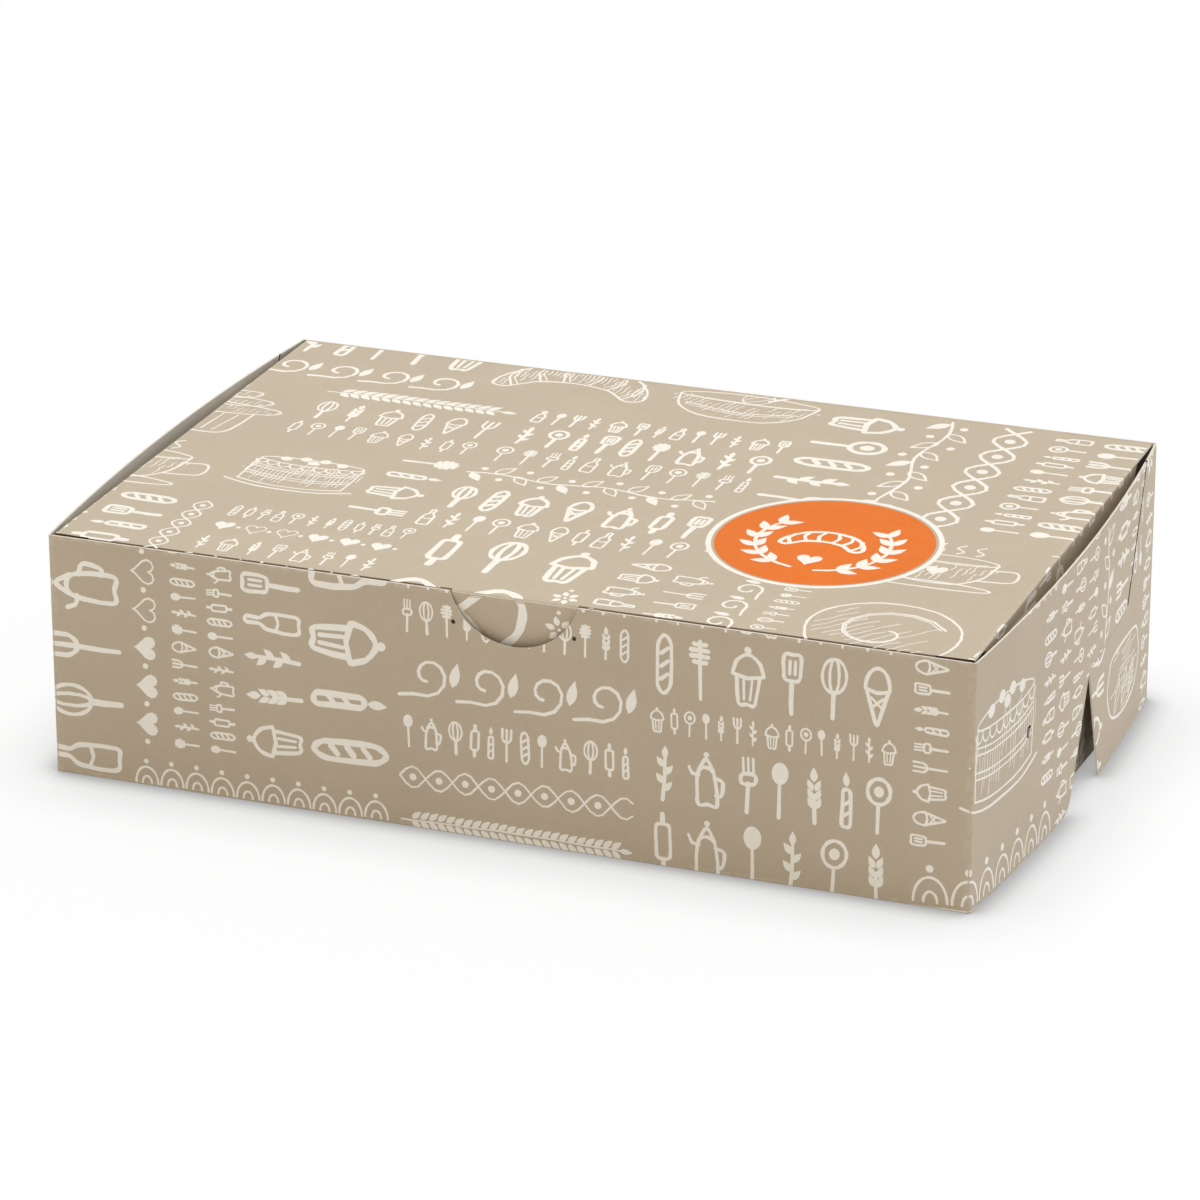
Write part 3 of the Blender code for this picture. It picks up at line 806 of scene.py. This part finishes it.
def plait_band(length):
    pace = 0.042
    steps = max(4, int(0.06 * length))
    places = [length * step / steps for step in range(steps + 1)]
    marks = [([knot(x, 50 + way * 30 * sin(pace * x)) for x in places], 1) for way in (1, -1)]
    crossings = int(length * pace / pi)
    return marks + [dot((index + 0.5) * pi / pace, 50, 10) for index in range(crossings)]


BANDS = (ear_band, sprig_band, heart_band, scallop_band, flower_band, curl_band, plait_band)

CROISSANT = (5, 20, 12, 52, 42, 84, 95, 97, 148, 84, 178, 52, 185, 20, 166, 13, 142, 34, 120, 42, 95, 45,
             70, 42, 48, 34, 24, 13)
LOAF = (8, 32, 5, 55, 28, 86, 85, 96, 142, 86, 165, 55, 162, 32, 145, 10, 85, 5, 25, 10)
BUN = (6, 50, 14, 78, 42, 95, 78, 92, 102, 70, 105, 40, 88, 12, 52, 4, 20, 16)
ROPE = (42, 8, 58, 36, 86, 62, 116, 86, 140, 72, 136, 40, 108, 14, 76, 5, 44, 14, 16, 40, 12, 72, 34, 86,
        66, 62, 94, 36, 110, 8)


def croissant():
    marks = [ring(*CROISSANT, weight=1.4), ring(*CROISSANT, weight=0.7)]
    for x, y, high_x, high_y in ((28, 18, 20, 68), (55, 38, 48, 88), (80, 44, 82, 96), (110, 44, 108, 96),
                                 (135, 38, 142, 88), (162, 18, 170, 68)):
        bend = 8 if x < 95 else -8
        middle_x, middle_y = (x + high_x) / 2 - bend, (y + high_y) / 2
        marks += [line(x, y, middle_x, middle_y, high_x, high_y, weight=1.2),
                  line(x + bend * 0.7, y + 5, middle_x + bend * 0.7, middle_y, high_x, high_y, weight=0.7)]
    return 190, marks + hatch(CROISSANT, 5.5, 0.25, 0.6, 0.62)


def layer_cake():
    low, high = 14, 80
    sides = (16, low, 16, high, 80, high + 10, 144, high, 144, low, 80, low - 8)
    marks = [line(16, low, 15, 45, 16, high), line(144, low, 145, 45, 144, high), oval(80, high, 64, 10)]
    for y, weight in ((low, 1), (34, 0.8), (40, 0.8), (56, 0.8), (62, 0.8)):
        marks.append(line(16, y, 46, y - 7, 80, y - 9, 114, y - 7, 144, y, weight=weight))
    for x in range(20, 155, 15):
        marks.append(arc(x, high - 5 - 8 * sin(pi * (x - 16) / 128), 7.5, 9, 0.5, 1.0))
    marks += [dot(x, high + y, 7, 6) for x, y in ((45, 5), (68, 10), (92, 10), (115, 5), (80, 2))]
    marks.append(line(2, 10, 40, -1, 80, -3, 120, -1, 158, 10, weight=1.3))
    return 160, marks + hatch(sides, 5, 0.25, 0.5, 0.55)


def cinnamon_bun():
    spiral = [knot(56 + (43 - 2.2 * step) * cos(0.42 * step), 50 + (40 - 2.1 * step) * sin(0.42 * step))
              for step in range(1, 18)]
    inner = [0.93 * point + 0.07 * knot(56, 50) for point in spiral]
    return 110, [ring(*BUN, weight=1.3), (spiral, 1.2), (inner, 0.7)] + hatch(BUN, 6, 0.13, 0.55, 0.5)


def crusty_loaf():
    marks = [ring(*LOAF, weight=1.4)]
    for x in (34, 70, 106):
        marks += [leaf(x, 46, 46, 8.5, 0.17, 1.0), line(x + 5, 53, x + 20, 74, weight=0.6)]
    return 170, marks + hatch(LOAF, 5.5, 0.02, 0.55, 0.45)


def pretzel():
    return 150, [line(*ROPE, weight=4.2)]


def cup_cake():
    marks = [line(20, 42, 28, 4, 60, 0, 92, 4, 100, 42, weight=1.3)]
    for x in (34, 44, 54, 65, 76, 86):
        lean = (x - 60) * 0.14
        marks.append(line(x + lean, 37, x, 20, x - lean, 5, weight=0.8))
    for wide, y in ((50, 44), (38, 59), (24, 73)):
        cream = (60 - wide, y, 58 - wide, y + 9, 60, y + 5 + wide / 5, 62 + wide, y + 10, 60 + wide, y,
                 60, y - 6)
        marks += [ring(*cream, weight=1.1)] + hatch(cream, 4.5, 0.20, 0.55, 0.55)
    return 120, marks + [dot(61, 92, 8.5)]


def tea_cup():
    bowl = (16, 66, 20, 36, 36, 16, 60, 12, 84, 16, 100, 36, 104, 66)
    marks = [line(*bowl, weight=1.3), oval(60, 66, 44, 9), arc(60, 65, 36, 5.5, 0.55, 0.95, 0.7),
             line(102, 54, 124, 56, 126, 34, 96, 28, weight=1.3), oval(60, 8, 56, 7.5, 1.2),
             heart(56, 38, 10)]
    for x in (42, 60, 78):
        marks.append(line(x, 80, x + 5, 86, x - 3, 93, x + 3, 100, weight=1.1))
    return 130, marks + hatch(bowl, 5.5, 0.24, 0.55, 0.5)


def mixing_bowl():
    bowl = (10, 56, 20, 26, 46, 6, 80, 2, 114, 6, 140, 26, 150, 56)
    marks = [line(*bowl, weight=1.3), oval(80, 57, 70, 11), arc(80, 55, 60, 7, 0.52, 0.98, 0.7),
             line(24, 34, 80, 22, 136, 34), line(26, 29, 80, 17, 134, 29, weight=0.7),
             line(98, 60, 120, 80, 144, 99, weight=2.2)]
    marks += [oval(86, 62, 16, wide, 0.7, 0.11) for wide in (5, 13)]
    return 160, marks + hatch(bowl, 6, 0.20, 0.55, 0.5)


PICTURES = (croissant, layer_cake, cinnamon_bun, crusty_loaf, pretzel, cup_cake, tea_cup, mixing_bowl)


# Print

# Strokes: a bend under STRAIGHT between short steps loses its point, and one over CORNER gets a round
# corner, both in radians; a stroke's width varies by WAVER, and its points by WOBBLE of the motif's height
STRAIGHT, SHORT_STEPS = 0.12, 6 * MM
CORNER = 0.8
WAVER, WOBBLE = 0.13, 0.016


def thinned(points, least):
    """The points without those closer than least to the one before, or hardly off the line."""
    kept = points[:1]
    for point in points[1:]:
        if (point - kept[-1]).length > least:
            kept.append(point)
    index = 1
    while index < len(kept) - 1:
        before, after = kept[index] - kept[index - 1], kept[index + 1] - kept[index]
        if before.angle(after) < STRAIGHT and before.length + after.length < SHORT_STEPS:
            del kept[index]
        else:
            index += 1
    return kept


def stroke_part(points, ways, half, start, end):
    """Polygon over a stroke from point start to point end, with round ends, or None if it folds over."""
    left, right = [], []
    for index in range(start, end + 1):
        way = ways[index] * half * (1 + WAVER * sin(1.3 * index + 900 * points[0].x))
        left.append(points[index] + Vector((-way.y, way.x)))
        right.append(points[index] - Vector((-way.y, way.x)))
    for index in range(end - start):
        corners = [right[index], right[index + 1], left[index + 1], left[index]]
        sides = [after - before for before, after in zip(corners, corners[1:] + corners[:1])]
        if any(a.cross(b) <= 0 for a, b in zip(sides, sides[1:] + sides[:1])):
            return None
    ends = []
    for index, sign, near in ((end, 1, right[-1]), (start, -1, left[0])):
        middle, way = points[index], ways[index] * half * sign
        side = (near - middle).normalized() * half
        ends.append([middle + 0.7 * (way + side), middle + way, middle + 0.7 * (way - side)])
    return right + ends[0] + left[::-1] + ends[1]


def ribbon(points, half):
    """Simple polygons that cover a stroke with round ends and corners."""
    points = thinned(points, 0.5 * half)
    if len(points) < 2:
        return [disc(*points[0], half)[::2]]
    steps = [(after - before).normalized() for before, after in zip(points, points[1:])]
    shapes, start = [], 0
    while start < len(steps):
        end = start + 1
        while end < len(steps) and steps[end - 1].angle(steps[end]) < CORNER:
            end += 1
        ways = {start: steps[start], end: steps[end - 1]}
        for index in range(start + 1, end):
            ways[index] = (steps[index - 1] + steps[index]).normalized()
        part = stroke_part(points, ways, half, start, end)
        if part:
            shapes.append(part)
        else:
            for index in range(start, end):
                own = {index: steps[index], index + 1: steps[index]}
                shapes.append(stroke_part(points, own, half, index, index + 1))
        start = end
    return shapes


def placed(marks, half, size, corner, turn, rng):
    """Shapes of a motif, size high, at corner and turned by quarter turns, slightly wobbly as a hand
    would draw it."""
    phase, pace = rng.uniform(0, 6.28), rng.uniform(1.5, 3.5)
    shapes = []
    for points, weight in marks:
        moved = []
        for point in points:
            wobble = Vector((sin(pace * point.y + phase), cos(pace * point.x + 2 * phase)))
            moved.append((point + WOBBLE * wobble) * size)
        moved = turned(moved, turn / 4, *corner)
        shapes += ribbon(moved, half * weight) if weight else [thinned(moved, 0.2 * MM)]
    return shapes


def meets(edge, low, high):
    """Whether the box round an edge meets the box from low to high."""
    return all(min(a, b) < far and max(a, b) > near for a, b, near, far in zip(*edge, low, high))


def covered(spots, rings):
    """Which of the spots at least one of the rings goes round."""
    result = np.zeros(len(spots), bool)
    for ring in rings:
        start = np.array([tuple(point) for point in ring])
        near = np.flatnonzero(((spots >= start.min(axis=0)) & (spots <= start.max(axis=0))).all(axis=1))
        x, y = spots[near, 0:1], spots[near, 1:2]
        ax, ay = start.T
        bx, by = np.roll(start, -1, axis=0).T
        rise = np.where(by == ay, 1, by - ay)
        right = x < ax + (bx - ax) * (y - ay) / rise
        up, down = (ay <= y) & (by > y) & right, (by <= y) & (ay > y) & right
        result[near] |= up.sum(axis=1) != down.sum(axis=1)
    return result


class Ink:
    """All the ink of one colour on one face, as a thin closed solid."""

    def __init__(self, face, lift=0.0):
        self.face, self.lift = face, lift
        self.vertices, self.faces = [], []
        self.edges = [pair for ring in [*face.rings, *face.holes] for pair in zip(ring, ring[1:] + ring[:1])]
        self.low, self.high = face.limits()

    def draw(self, shapes):
        """Add the union of the shapes, cut at the face's outline and holes."""
        low, high = corners_of(shapes)
        if not meets((low, high), self.low, self.high):
            return
        crossing = any(meets(edge, low, high) for edge in self.edges)
        if not crossing and not covered(np.array([(low + high) / 2]), self.face.rings)[0]:
            return
        rims = [*self.face.rings, *self.face.holes] if crossing else []
        spots, edges = [], []
        for ring in [*rims, *shapes]:
            start = len(spots)
            spots += [Vector(point) / MM for point in ring]
            edges += [(start + index - 1, start + index) for index in range(1, len(ring))]
            edges.append((len(spots) - 1, start))
        for score in self.face.scores:
            if meets(score, low, high):
                edges.append((len(spots), len(spots) + 1))
                spots += [Vector(end) / MM for end in score]
        found = delaunay_2d_cdt(spots, edges, [], 0, 1e-4)
        points = np.array([tuple(point) for point in found[0]]) * MM
        faces = np.array(found[2])
        middles = points[faces].mean(axis=1)
        inked = covered(middles, shapes)
        if crossing:
            inked &= covered(middles, self.face.rings) & ~covered(middles, self.face.holes)
        self.thicken(points.tolist(), faces[inked].tolist())

    def thicken(self, points, faces):
        """Turn flat faces into a closed layer from SUNK below the board's face to INK above it."""
        used = sorted({index for face in faces for index in face})
        start, count = len(self.vertices), len(used)
        number = {index: start + i for i, index in enumerate(used)}
        for height in (self.lift + INK, -SUNK):
            self.vertices += [self.face.place(*points[index], height) for index in used]
        edges = {(face[i - 1], face[i]) for face in faces for i in range(len(face))}
        for face in faces:
            top = [number[index] for index in face]
            self.faces += [top, [index + count for index in reversed(top)]]
        for first, second in edges:
            if (second, first) not in edges:
                a, b = number[first], number[second]
                self.faces.append([a, a + count, b + count, b])

    def piece(self, name, material):
        if not self.faces:
            return None
        obj = add_mesh(name, self.vertices, self.faces, material)
        if self.face.bend:
            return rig.blend(obj, *self.face.bodies, start=self.face.bend[0], end=self.face.bend[1])
        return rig.ride(obj, *self.face.bodies)


def add_object(name, data):
    obj = bpy.data.objects.new(name, data)
    bpy.context.scene.collection.objects.link(obj)
    return obj


def add_mesh(name, vertices, faces, material):
    mesh = bpy.data.meshes.new(name)
    mesh.from_pydata(vertices, [], faces)
    mesh.materials.append(material)
    obj = add_object(name, mesh)
    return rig.slot(obj, "printed_board")


def halves(low, high, across, cut):
    """A rectangle cut in two, that far from low: across its width, or else its height."""
    middle = low + Vector((cut, 0) if across else (0, cut))
    return (low, Vector((middle.x, high.y) if across else (high.x, middle.y))), (middle, high)


def split_cells(low, high, rng, cells):
    """Divide a rectangle into bands, peeled off its sides one by one, and squares for pictures."""
    wide, tall = high - low
    shorter, longer = sorted((wide, tall))
    if shorter < LEAST_CELL:
        return
    if shorter > HALVED[0] and longer > HALVED[1]:
        for part in halves(low, high, wide > tall, longer * rng.uniform(*MIDDLE)):
            split_cells(*part, rng, cells)
        return
    least, most, ratio = SQUARE
    if shorter < THIN or (shorter > least and longer < most and longer / shorter < ratio):
        cells.append((low, high))
        return
    thick = min(rng.choice(BAND_HEIGHTS) * MM, shorter * BAND_MOST)
    if shorter - thick < LEAST_REST:
        thick = shorter / 2
    flat = wide > tall * (LYING[1] if rng.random() < LYING[0] else LYING[2])
    first = rng.random() < 0.5
    parts = halves(low, high, not flat, thick if first else (tall if flat else wide) - thick)
    band, rest = parts if first else parts[::-1]
    cells.append(band)
    split_cells(*rest, rng, cells)


def cell_groups(low, high, rng, recent):
    """Groups of shapes that fill one cell: a picture, a row of small things or a band."""
    wide, tall = (side - 2 * GUTTER for side in high - low)
    longer, size = max(wide, tall), min(wide, tall)
    middle, room = (low + high) / 2, MOTIF * longer / size
    if room < PICTURE_LONGEST and size > PICTURE_LEAST:
        picture = rng.choice([picture for picture in PICTURES if picture not in recent])
        recent.append(picture)
        length, marks = picture()
        scale = min(size, wide * MOTIF / length)
        corner = middle - Vector((length / MOTIF * scale / 2, scale / 2))
        return [placed(marks, PICTURE_STROKE, scale, corner, 0, rng)]
    turn = 0 if wide >= tall else rng.choice((1, 1, 3))
    half = max(size * rng.uniform(*STROKE_SHARES), STROKE_LEAST)
    along, up = turned([Vector((1, 0)), Vector((0, 1))], turn / 4)
    corner = middle - along * longer / 2 - up * size / 2
    if size < LEAST_CELL or rng.random() < BAND_CHANCE:
        band = rng.choice([band for band in BANDS if band not in recent])
        recent.append(band)
        return [placed(band(room), half * BAND_STROKE, size, corner, turn, rng)]
    things, used = [], 0
    chosen = rng.sample(SMALL_THINGS, KINDS_IN_ROW)
    while True:
        width, marks = chosen[len(things) % KINDS_IN_ROW]
        if used + width + SPACING > room:
            break
        things.append((width, marks))
        used += width + SPACING
    gap = SPACING + (room - used) / max(len(things), 1)
    groups, x = [], gap / 2
    for width, marks in things:
        groups.append(placed(marks, half, size, corner + along * (x / MOTIF) * size, turn, rng))
        x += width + gap
    return groups


def print_sheet(layers, low, high, seed):
    """Fill a rectangle of the blank with print, on every face that it meets."""
    rng, cells, recent = random.Random(seed), [], []
    split_cells(low, high, rng, cells)
    for cell in cells:
        for shapes in cell_groups(*cell, rng, recent):
            for layer in layers:
                layer.draw(shapes)
        del recent[:-UNREPEATED]


def build_seal(lid, cream, orange):
    """Round orange patch with a cream border on the lid; the print keeps clear of it."""
    centre = Vector((SEAL_X, LID_LENGTH - SEAL_FROM_HINGE))

    def circle(radius, steps=120):
        return [centre + radius * heading(index / steps) for index in range(steps)]

    def patch(name, rim, hole, material):
        layer = Ink(Face(name, lid.bodies, lid.place, [rim], hole))
        layer.draw([circle(SEAL_RADIUS * 2)])
        layer.piece(name, material)

    patch("seal_border", circle(SEAL_RADIUS), [circle(SEAL_RADIUS - SEAL_BORDER)], cream)
    patch("seal_patch", circle(SEAL_RADIUS - SEAL_BORDER - SEAL_LINE), [], orange)
    wreath = []
    for way in (1, -1):
        wreath.append(arc(0, 0, MOTIF, MOTIF, -0.25 + 0.03 * way, -0.25 + 0.36 * way))
        for step in range(6):
            turn = -0.25 + way * (0.08 + 0.052 * step)
            foot = heading(turn)
            for lean in (0.10, -0.10):
                wreath.append(leaf(MOTIF * foot.x, MOTIF * foot.y, 34, 7.5, turn + way * (0.25 + lean)))
    length, bake = croissant()
    size = BAKE_SHARE * SEAL_RADIUS
    emblem, rng = Ink(lid, INK), random.Random(5)
    for marks, half, high, corner in (
            (wreath, WREATH_STROKE, WREATH_SHARE * SEAL_RADIUS, Vector((0, -1 * MM))),
            (bake[:1] + bake[2::2][:6], BAKE_STROKE, size, -size * knot(length / 2, 45)),
            ([heart(0, 0, 50)], 0, HEART_SHARE * SEAL_RADIUS, Vector((0, -HEART_DROP_SHARE * SEAL_RADIUS)))):
        emblem.draw(placed(marks, half, high, centre + corner, 0, rng))
    emblem.piece("seal_emblem", cream)
    lid.holes.append(circle(SEAL_RADIUS))


# Folds

def strip(name, path, start, end, material):
    """Closed strip of board over a crease, with path as its section, run from start to end."""
    section = [point + out * PROUD for point, out in path]
    section += [point - out * STRIP_DEPTH for point, out in reversed(path)]
    count = len(section)
    vertices = [point + shift for shift in (start, end) for point in section]
    for vertex in vertices:
        vertex.z = max(vertex.z, 0)
    faces = [list(range(count)), list(range(count, 2 * count))[::-1]]
    for index in range(count):
        after = (index + 1) % count
        faces.append([after, index, index + count, after + count])
    obj = add_mesh(name, vertices, faces, material)
    work = bmesh.new()
    work.from_mesh(obj.data)
    bmesh.ops.recalc_face_normals(work, faces=work.faces)
    work.to_mesh(obj.data)
    work.free()
    return obj


def crease_path(corner, first, last, foot):
    """Section over a rounded crease: round the corner from the first face to foot on the last."""
    centre = corner - (first + last) * FOLD_EDGE
    path = []
    for step in range(5):
        angle = pi / 2 * step / 4
        out = first * cos(angle) + last * sin(angle)
        path.append((centre + out * FOLD_EDGE, out))
    return path + [(foot, last)]


def lid_fold(name, body, path, run, spans, material, along_t=True, backward=False):
    """Strips over one of the lid's creases; gives the face for the print on them. They bend from under
    the lid's face to the end of the path."""
    (top, first), (foot, last) = path[0], path[-1]
    start, end = top - first * BOARD, foot
    back = run.cross(first)
    back *= -1 if back.dot(last) > 0 else 1
    down = (foot - path[-2][0]).normalized()
    section = [(top + back * STRIP_REACH, first), *path, (foot + down * STRIP_REACH / 2, last)]
    for index, (low, high) in enumerate(spans):
        piece = strip(f"{name}_strip_{index}", section, run * low, run * high, material)
        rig.blend(piece, "lid", body, start=start, end=end)
    path = path[::-1] if backward else path
    return fold_face(name, ["lid", body], path, run, spans, along_t, (start, end))


def build_corner_strips(material):
    for side_name, side in SIDES.items():
        for end_name, way, top in (("front", -1, WALL_HIGH.z), ("rear", 1, BACK_HIGH.z - STRIP_REACH / 2)):
            out = Vector((0, way, 0))
            path = [(Vector((side * (INNER_HALF_WIDTH - STRIP_REACH), way * DEPTH / 2, 0)), out)]
            for step in range(7):
                angle = pi / 2 + (BOW_END_ANGLE - pi / 2) * step / 6
                out = Vector((side * cos(angle), way * sin(angle), 0))
                path.append((Vector((side * FOLD_X, way * FOLD_Y, 0)) + out * FOLD_RADIUS, out))
            obj = strip(f"{end_name}_{side_name}_corner_strip", path, Vector((0, 0, PROUD)),
                        Vector((0, 0, top - PROUD)), material)
            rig.ride(obj, "box")


def build_bottom_strips(material):
    for name, way in (("front", -1), ("back", 1)):
        out, down = Vector((0, way, 0)), Vector((0, 0, -1))
        path = crease_path(Vector((0, way * DEPTH / 2, 0)), out, down,
                           Vector((0, way * (DEPTH / 2 - BOARD - GAP - STRIP_REACH), 0)))
        path.insert(0, (path[0][0] - down * STRIP_REACH, out))
        half = Vector((INNER_HALF_WIDTH - STRIP_REACH - PROUD, 0, 0))
        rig.ride(strip(name + "_bottom_strip", path, -half, half, material), "box")


def build_end_panel_strips(material):
    for name, side in SIDES.items():
        low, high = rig.box("end_panel_" + name)
        out, x = Vector((side, 0, 0)), side * max(abs(low.x), abs(high.x))
        path = [(Vector((x, 0, z)), out) for z in (FOLD_EDGE / 2, BOARD, BOARD + GAP, BOARD + 2 * GAP)]
        obj = strip("end_panel_strip_" + name, path, Vector((0, low.y, 0)), Vector((0, high.y, 0)), material)
        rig.blend(obj, "box", "inner_end_" + name, start=path[1][0], end=path[2][0])


def fold_blank(material):
    """Faces of the blank that carry print, placed on the sheet as the real blank is laid out."""
    across, up = Vector((1, 0, 0)), Vector((0, 0, 1))
    front = HINGE - ALONG_LID * LID_LENGTH
    lid = flat_face("lid_panel", "lid", LID_OUT, ALONG_LID).shift(0, -front.dot(ALONG_LID))
    faces = [lid]

    leaning = Vector((0, 0, 0))
    for face in frame["nodes"]["tuck_flap"].data.polygons:
        if face.normal.y < -0.9:
            leaning += face.normal * face.area
    leaning.normalize()
    tuck = flat_face("tuck_flap", "tuck", leaning, leaning.cross(across))
    path = crease_path(front, LID_OUT, -ALONG_LID, tuck.place(0, tuck.limits()[1].y, 0))
    spans, start = [], -HALF_FRONT_FOLD
    for nick in (NOTCH_CENTRE - NICKS_APART / 2, NOTCH_CENTRE + NICKS_APART / 2):
        spans.append((start, nick - NICK / 2))
        start = nick + NICK / 2
    spans.append((start, HALF_FRONT_FOLD))
    # Fold strips with painted shade in the lid's front crease behind the front wall
    crease = fold_material("creased_board", True)
    fold = lid_fold("front_fold", "tuck", path, across, spans, crease, backward=True)
    start = FOLD_EDGE - fold.limits()[1].y
    faces += [fold.shift(0, start), tuck.shift(0, start - tuck.limits()[1].y)]

    path = crease_path(HINGE, LID_OUT, Vector((0, 1, 0)), Vector((0, DEPTH / 2, BACK_HIGH.z)))
    span = [(-INNER_HALF_WIDTH + PROUD, INNER_HALF_WIDTH - PROUD)]
    fold = lid_fold("hinge_fold", "box", path, across, span, material).shift(0, LID_LENGTH - FOLD_EDGE)
    top = fold.limits()[1].y + BACK_HIGH.z
    faces += [fold, flat_face("back_wall", "box", Vector((0, 1, 0)), -up).shift(0, top)]

    front_foot = top + DEPTH
    faces.append(flat_face("front_wall", "box", Vector((0, -1, 0)), up).shift(0, front_foot))
    for name, side in SIDES.items():
        out = across * side
        faces += [wrapped_face("rear_lock_flap_" + name, side, 1).shift(0, top),
                  wrapped_face("front_lock_flap_" + name, side, -1).shift(0, front_foot)]
        end = flat_face("end_panel_" + name, "inner_end_" + name, out, Vector((0, -1, 0)))
        faces.append(end.shift(side * (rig.box("base_panel")[1].x - BOARD), top + DEPTH / 2))

        flap = flat_face("lid_side_flap_" + name, "side_flap_" + name, out, ALONG_LID)
        flap.shift(0, -front.dot(ALONG_LID))
        low, high = flap.limits()
        near = min(low.x, high.x, key=lambda s: side * s)
        edge = front + out * INNER_HALF_WIDTH
        path = crease_path(edge, LID_OUT, out, edge - LID_OUT * (BOARD + GAP))
        fold = lid_fold("side_fold_" + name, "side_flap_" + name, path, ALONG_LID, [(low.y, high.y)],
                        material, along_t=False, backward=side < 0)
        length = fold.limits()[1].x
        start = INNER_HALF_WIDTH - FOLD_EDGE
        faces += [fold.shift(start if side > 0 else -start - length, 0),
                  flap.shift(side * (start + length) - near, 0)]
    return lid, faces


# Stage

def seen_directly(nodes):
    """1 for the rays that see the backdrop itself: the camera's, and those through gloss and glass."""
    rays = nodes.add("LightPath", {}).outputs
    through = nodes.math('MAXIMUM', rays["Is Glossy Ray"], rays["Is Transmission Ray"])
    return nodes.math('MAXIMUM', rays["Is Camera Ray"], through)


def build_floor():
    """White floor: mostly its own light where it is seen, darker close to the box."""
    bpy.ops.mesh.primitive_grid_add(x_subdivisions=2, y_subdivisions=2, size=12)
    floor = bpy.context.object
    floor.name = "floor"
    nodes = Nodes("floor")
    nodes.set("Base Color", FLOOR_PAINT)
    nodes.set("Roughness", 0.9)
    nodes.set("Specular IOR Level", 0.0)
    level = 1.0
    for reach, depth in SHADES:
        near = nodes.add("AmbientOcclusion", {"Distance": reach}, samples=8)
        level = nodes.math('MULTIPLY', nodes.ramp(near.outputs["AO"], 0.5, 1.0, 1 - depth / 2, 1.0), level)
    glow = nodes.add("Emission", {"Color": WHITE, "Strength": level})
    matt = nodes.add("BsdfDiffuse", {"Color": SEEN_PAINT})
    seen = nodes.either(SEEN_GLOW, matt.outputs[0], glow.outputs[0])
    nodes.finish(nodes.either(seen_directly(nodes), nodes.shader.outputs[0], seen), "Material Output")
    floor.data.materials.append(nodes.material)
    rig.stage(floor)


def add_sun(name, strength, colour, spread, toward):
    sun = bpy.data.lights.new(name, 'SUN')
    sun.energy = strength
    sun.color = colour
    sun.angle = radians(spread)
    add_object(name, sun).rotation_euler = Vector(toward).to_track_quat('Z', 'Y').to_euler()


def build_light():
    world = bpy.data.worlds.new("studio")
    bpy.context.scene.world = world
    nodes = Nodes("studio", world)
    lit = nodes.add("Background", {"Color": WHITE, "Strength": SKY})
    seen = nodes.add("Background", {"Color": WHITE, "Strength": 1.0})
    nodes.finish(nodes.either(seen_directly(nodes), lit.outputs[0], seen.outputs[0]), "World Output")
    for name, looks in SUNS.items():
        add_sun(name, *looks)


def build_camera():
    data = bpy.data.cameras.new("camera")
    data.sensor_width = 36
    data.lens = LENS
    data.clip_start, data.clip_end = 0.05, 50
    camera = add_object("camera", data)
    camera.location = CAMERA_AT
    camera.rotation_euler = (radians(CAMERA_TILT), 0, radians(CAMERA_TURN))
    bpy.context.scene.camera = camera


def dress_panels():
    """Give every packed panel its board material."""
    down, ahead, behind = (0, 0, -1), (0, -1, 0), (0, 1, 0)
    looks = {"base_panel": ([down], (0, 1)), "front_wall": ([ahead], (0, 2)), "back_wall": ([behind], (0, 2)),
             "lid_panel": ([tuple(LID_OUT)], (0, 1)), "tuck_flap": ([ahead], (0, 2))}
    for name, side in SIDES.items():
        out = (side, 0, 0)
        looks["lid_side_flap_" + name] = looks["end_panel_" + name] = [out], (1, 2)
        looks["front_lock_flap_" + name] = [out, ahead], (1, 2)
        looks["rear_lock_flap_" + name] = [out, behind], (1, 2)
    for name, (outsides, axes) in looks.items():
        data = frame["nodes"][name].data
        data.materials.clear()
        data.materials.append(panel_material(name, outsides, axes))


def main():
    dress_panels()
    folded = fold_material("folded_board")
    cream = ink_material("cream_ink", CREAM)
    orange = ink_material("orange_ink", ORANGE)
    build_corner_strips(folded)
    build_bottom_strips(folded)
    build_end_panel_strips(folded)
    lid, faces = fold_blank(folded)
    build_seal(lid, cream, orange)
    layers = [Ink(face) for face in faces]
    for seed, names in ZONES:
        found = [layer for layer in layers if layer.face.name.startswith(names)]
        low, high = corners_of([(layer.low, layer.high) for layer in found])
        print_sheet(found, low - BLEED, high + BLEED, seed)
    for layer in layers:
        layer.piece(layer.face.name + "_print", cream)
    build_floor()
    build_light()
    build_camera()
    bpy.context.scene.view_settings.view_transform = 'Standard'
    low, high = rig.bounds()
    with open("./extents.json", "w") as file:
        json.dump({"cad": [list(cad_low), list(cad_high)], "visual": [list(low), list(high)]}, file)


main()
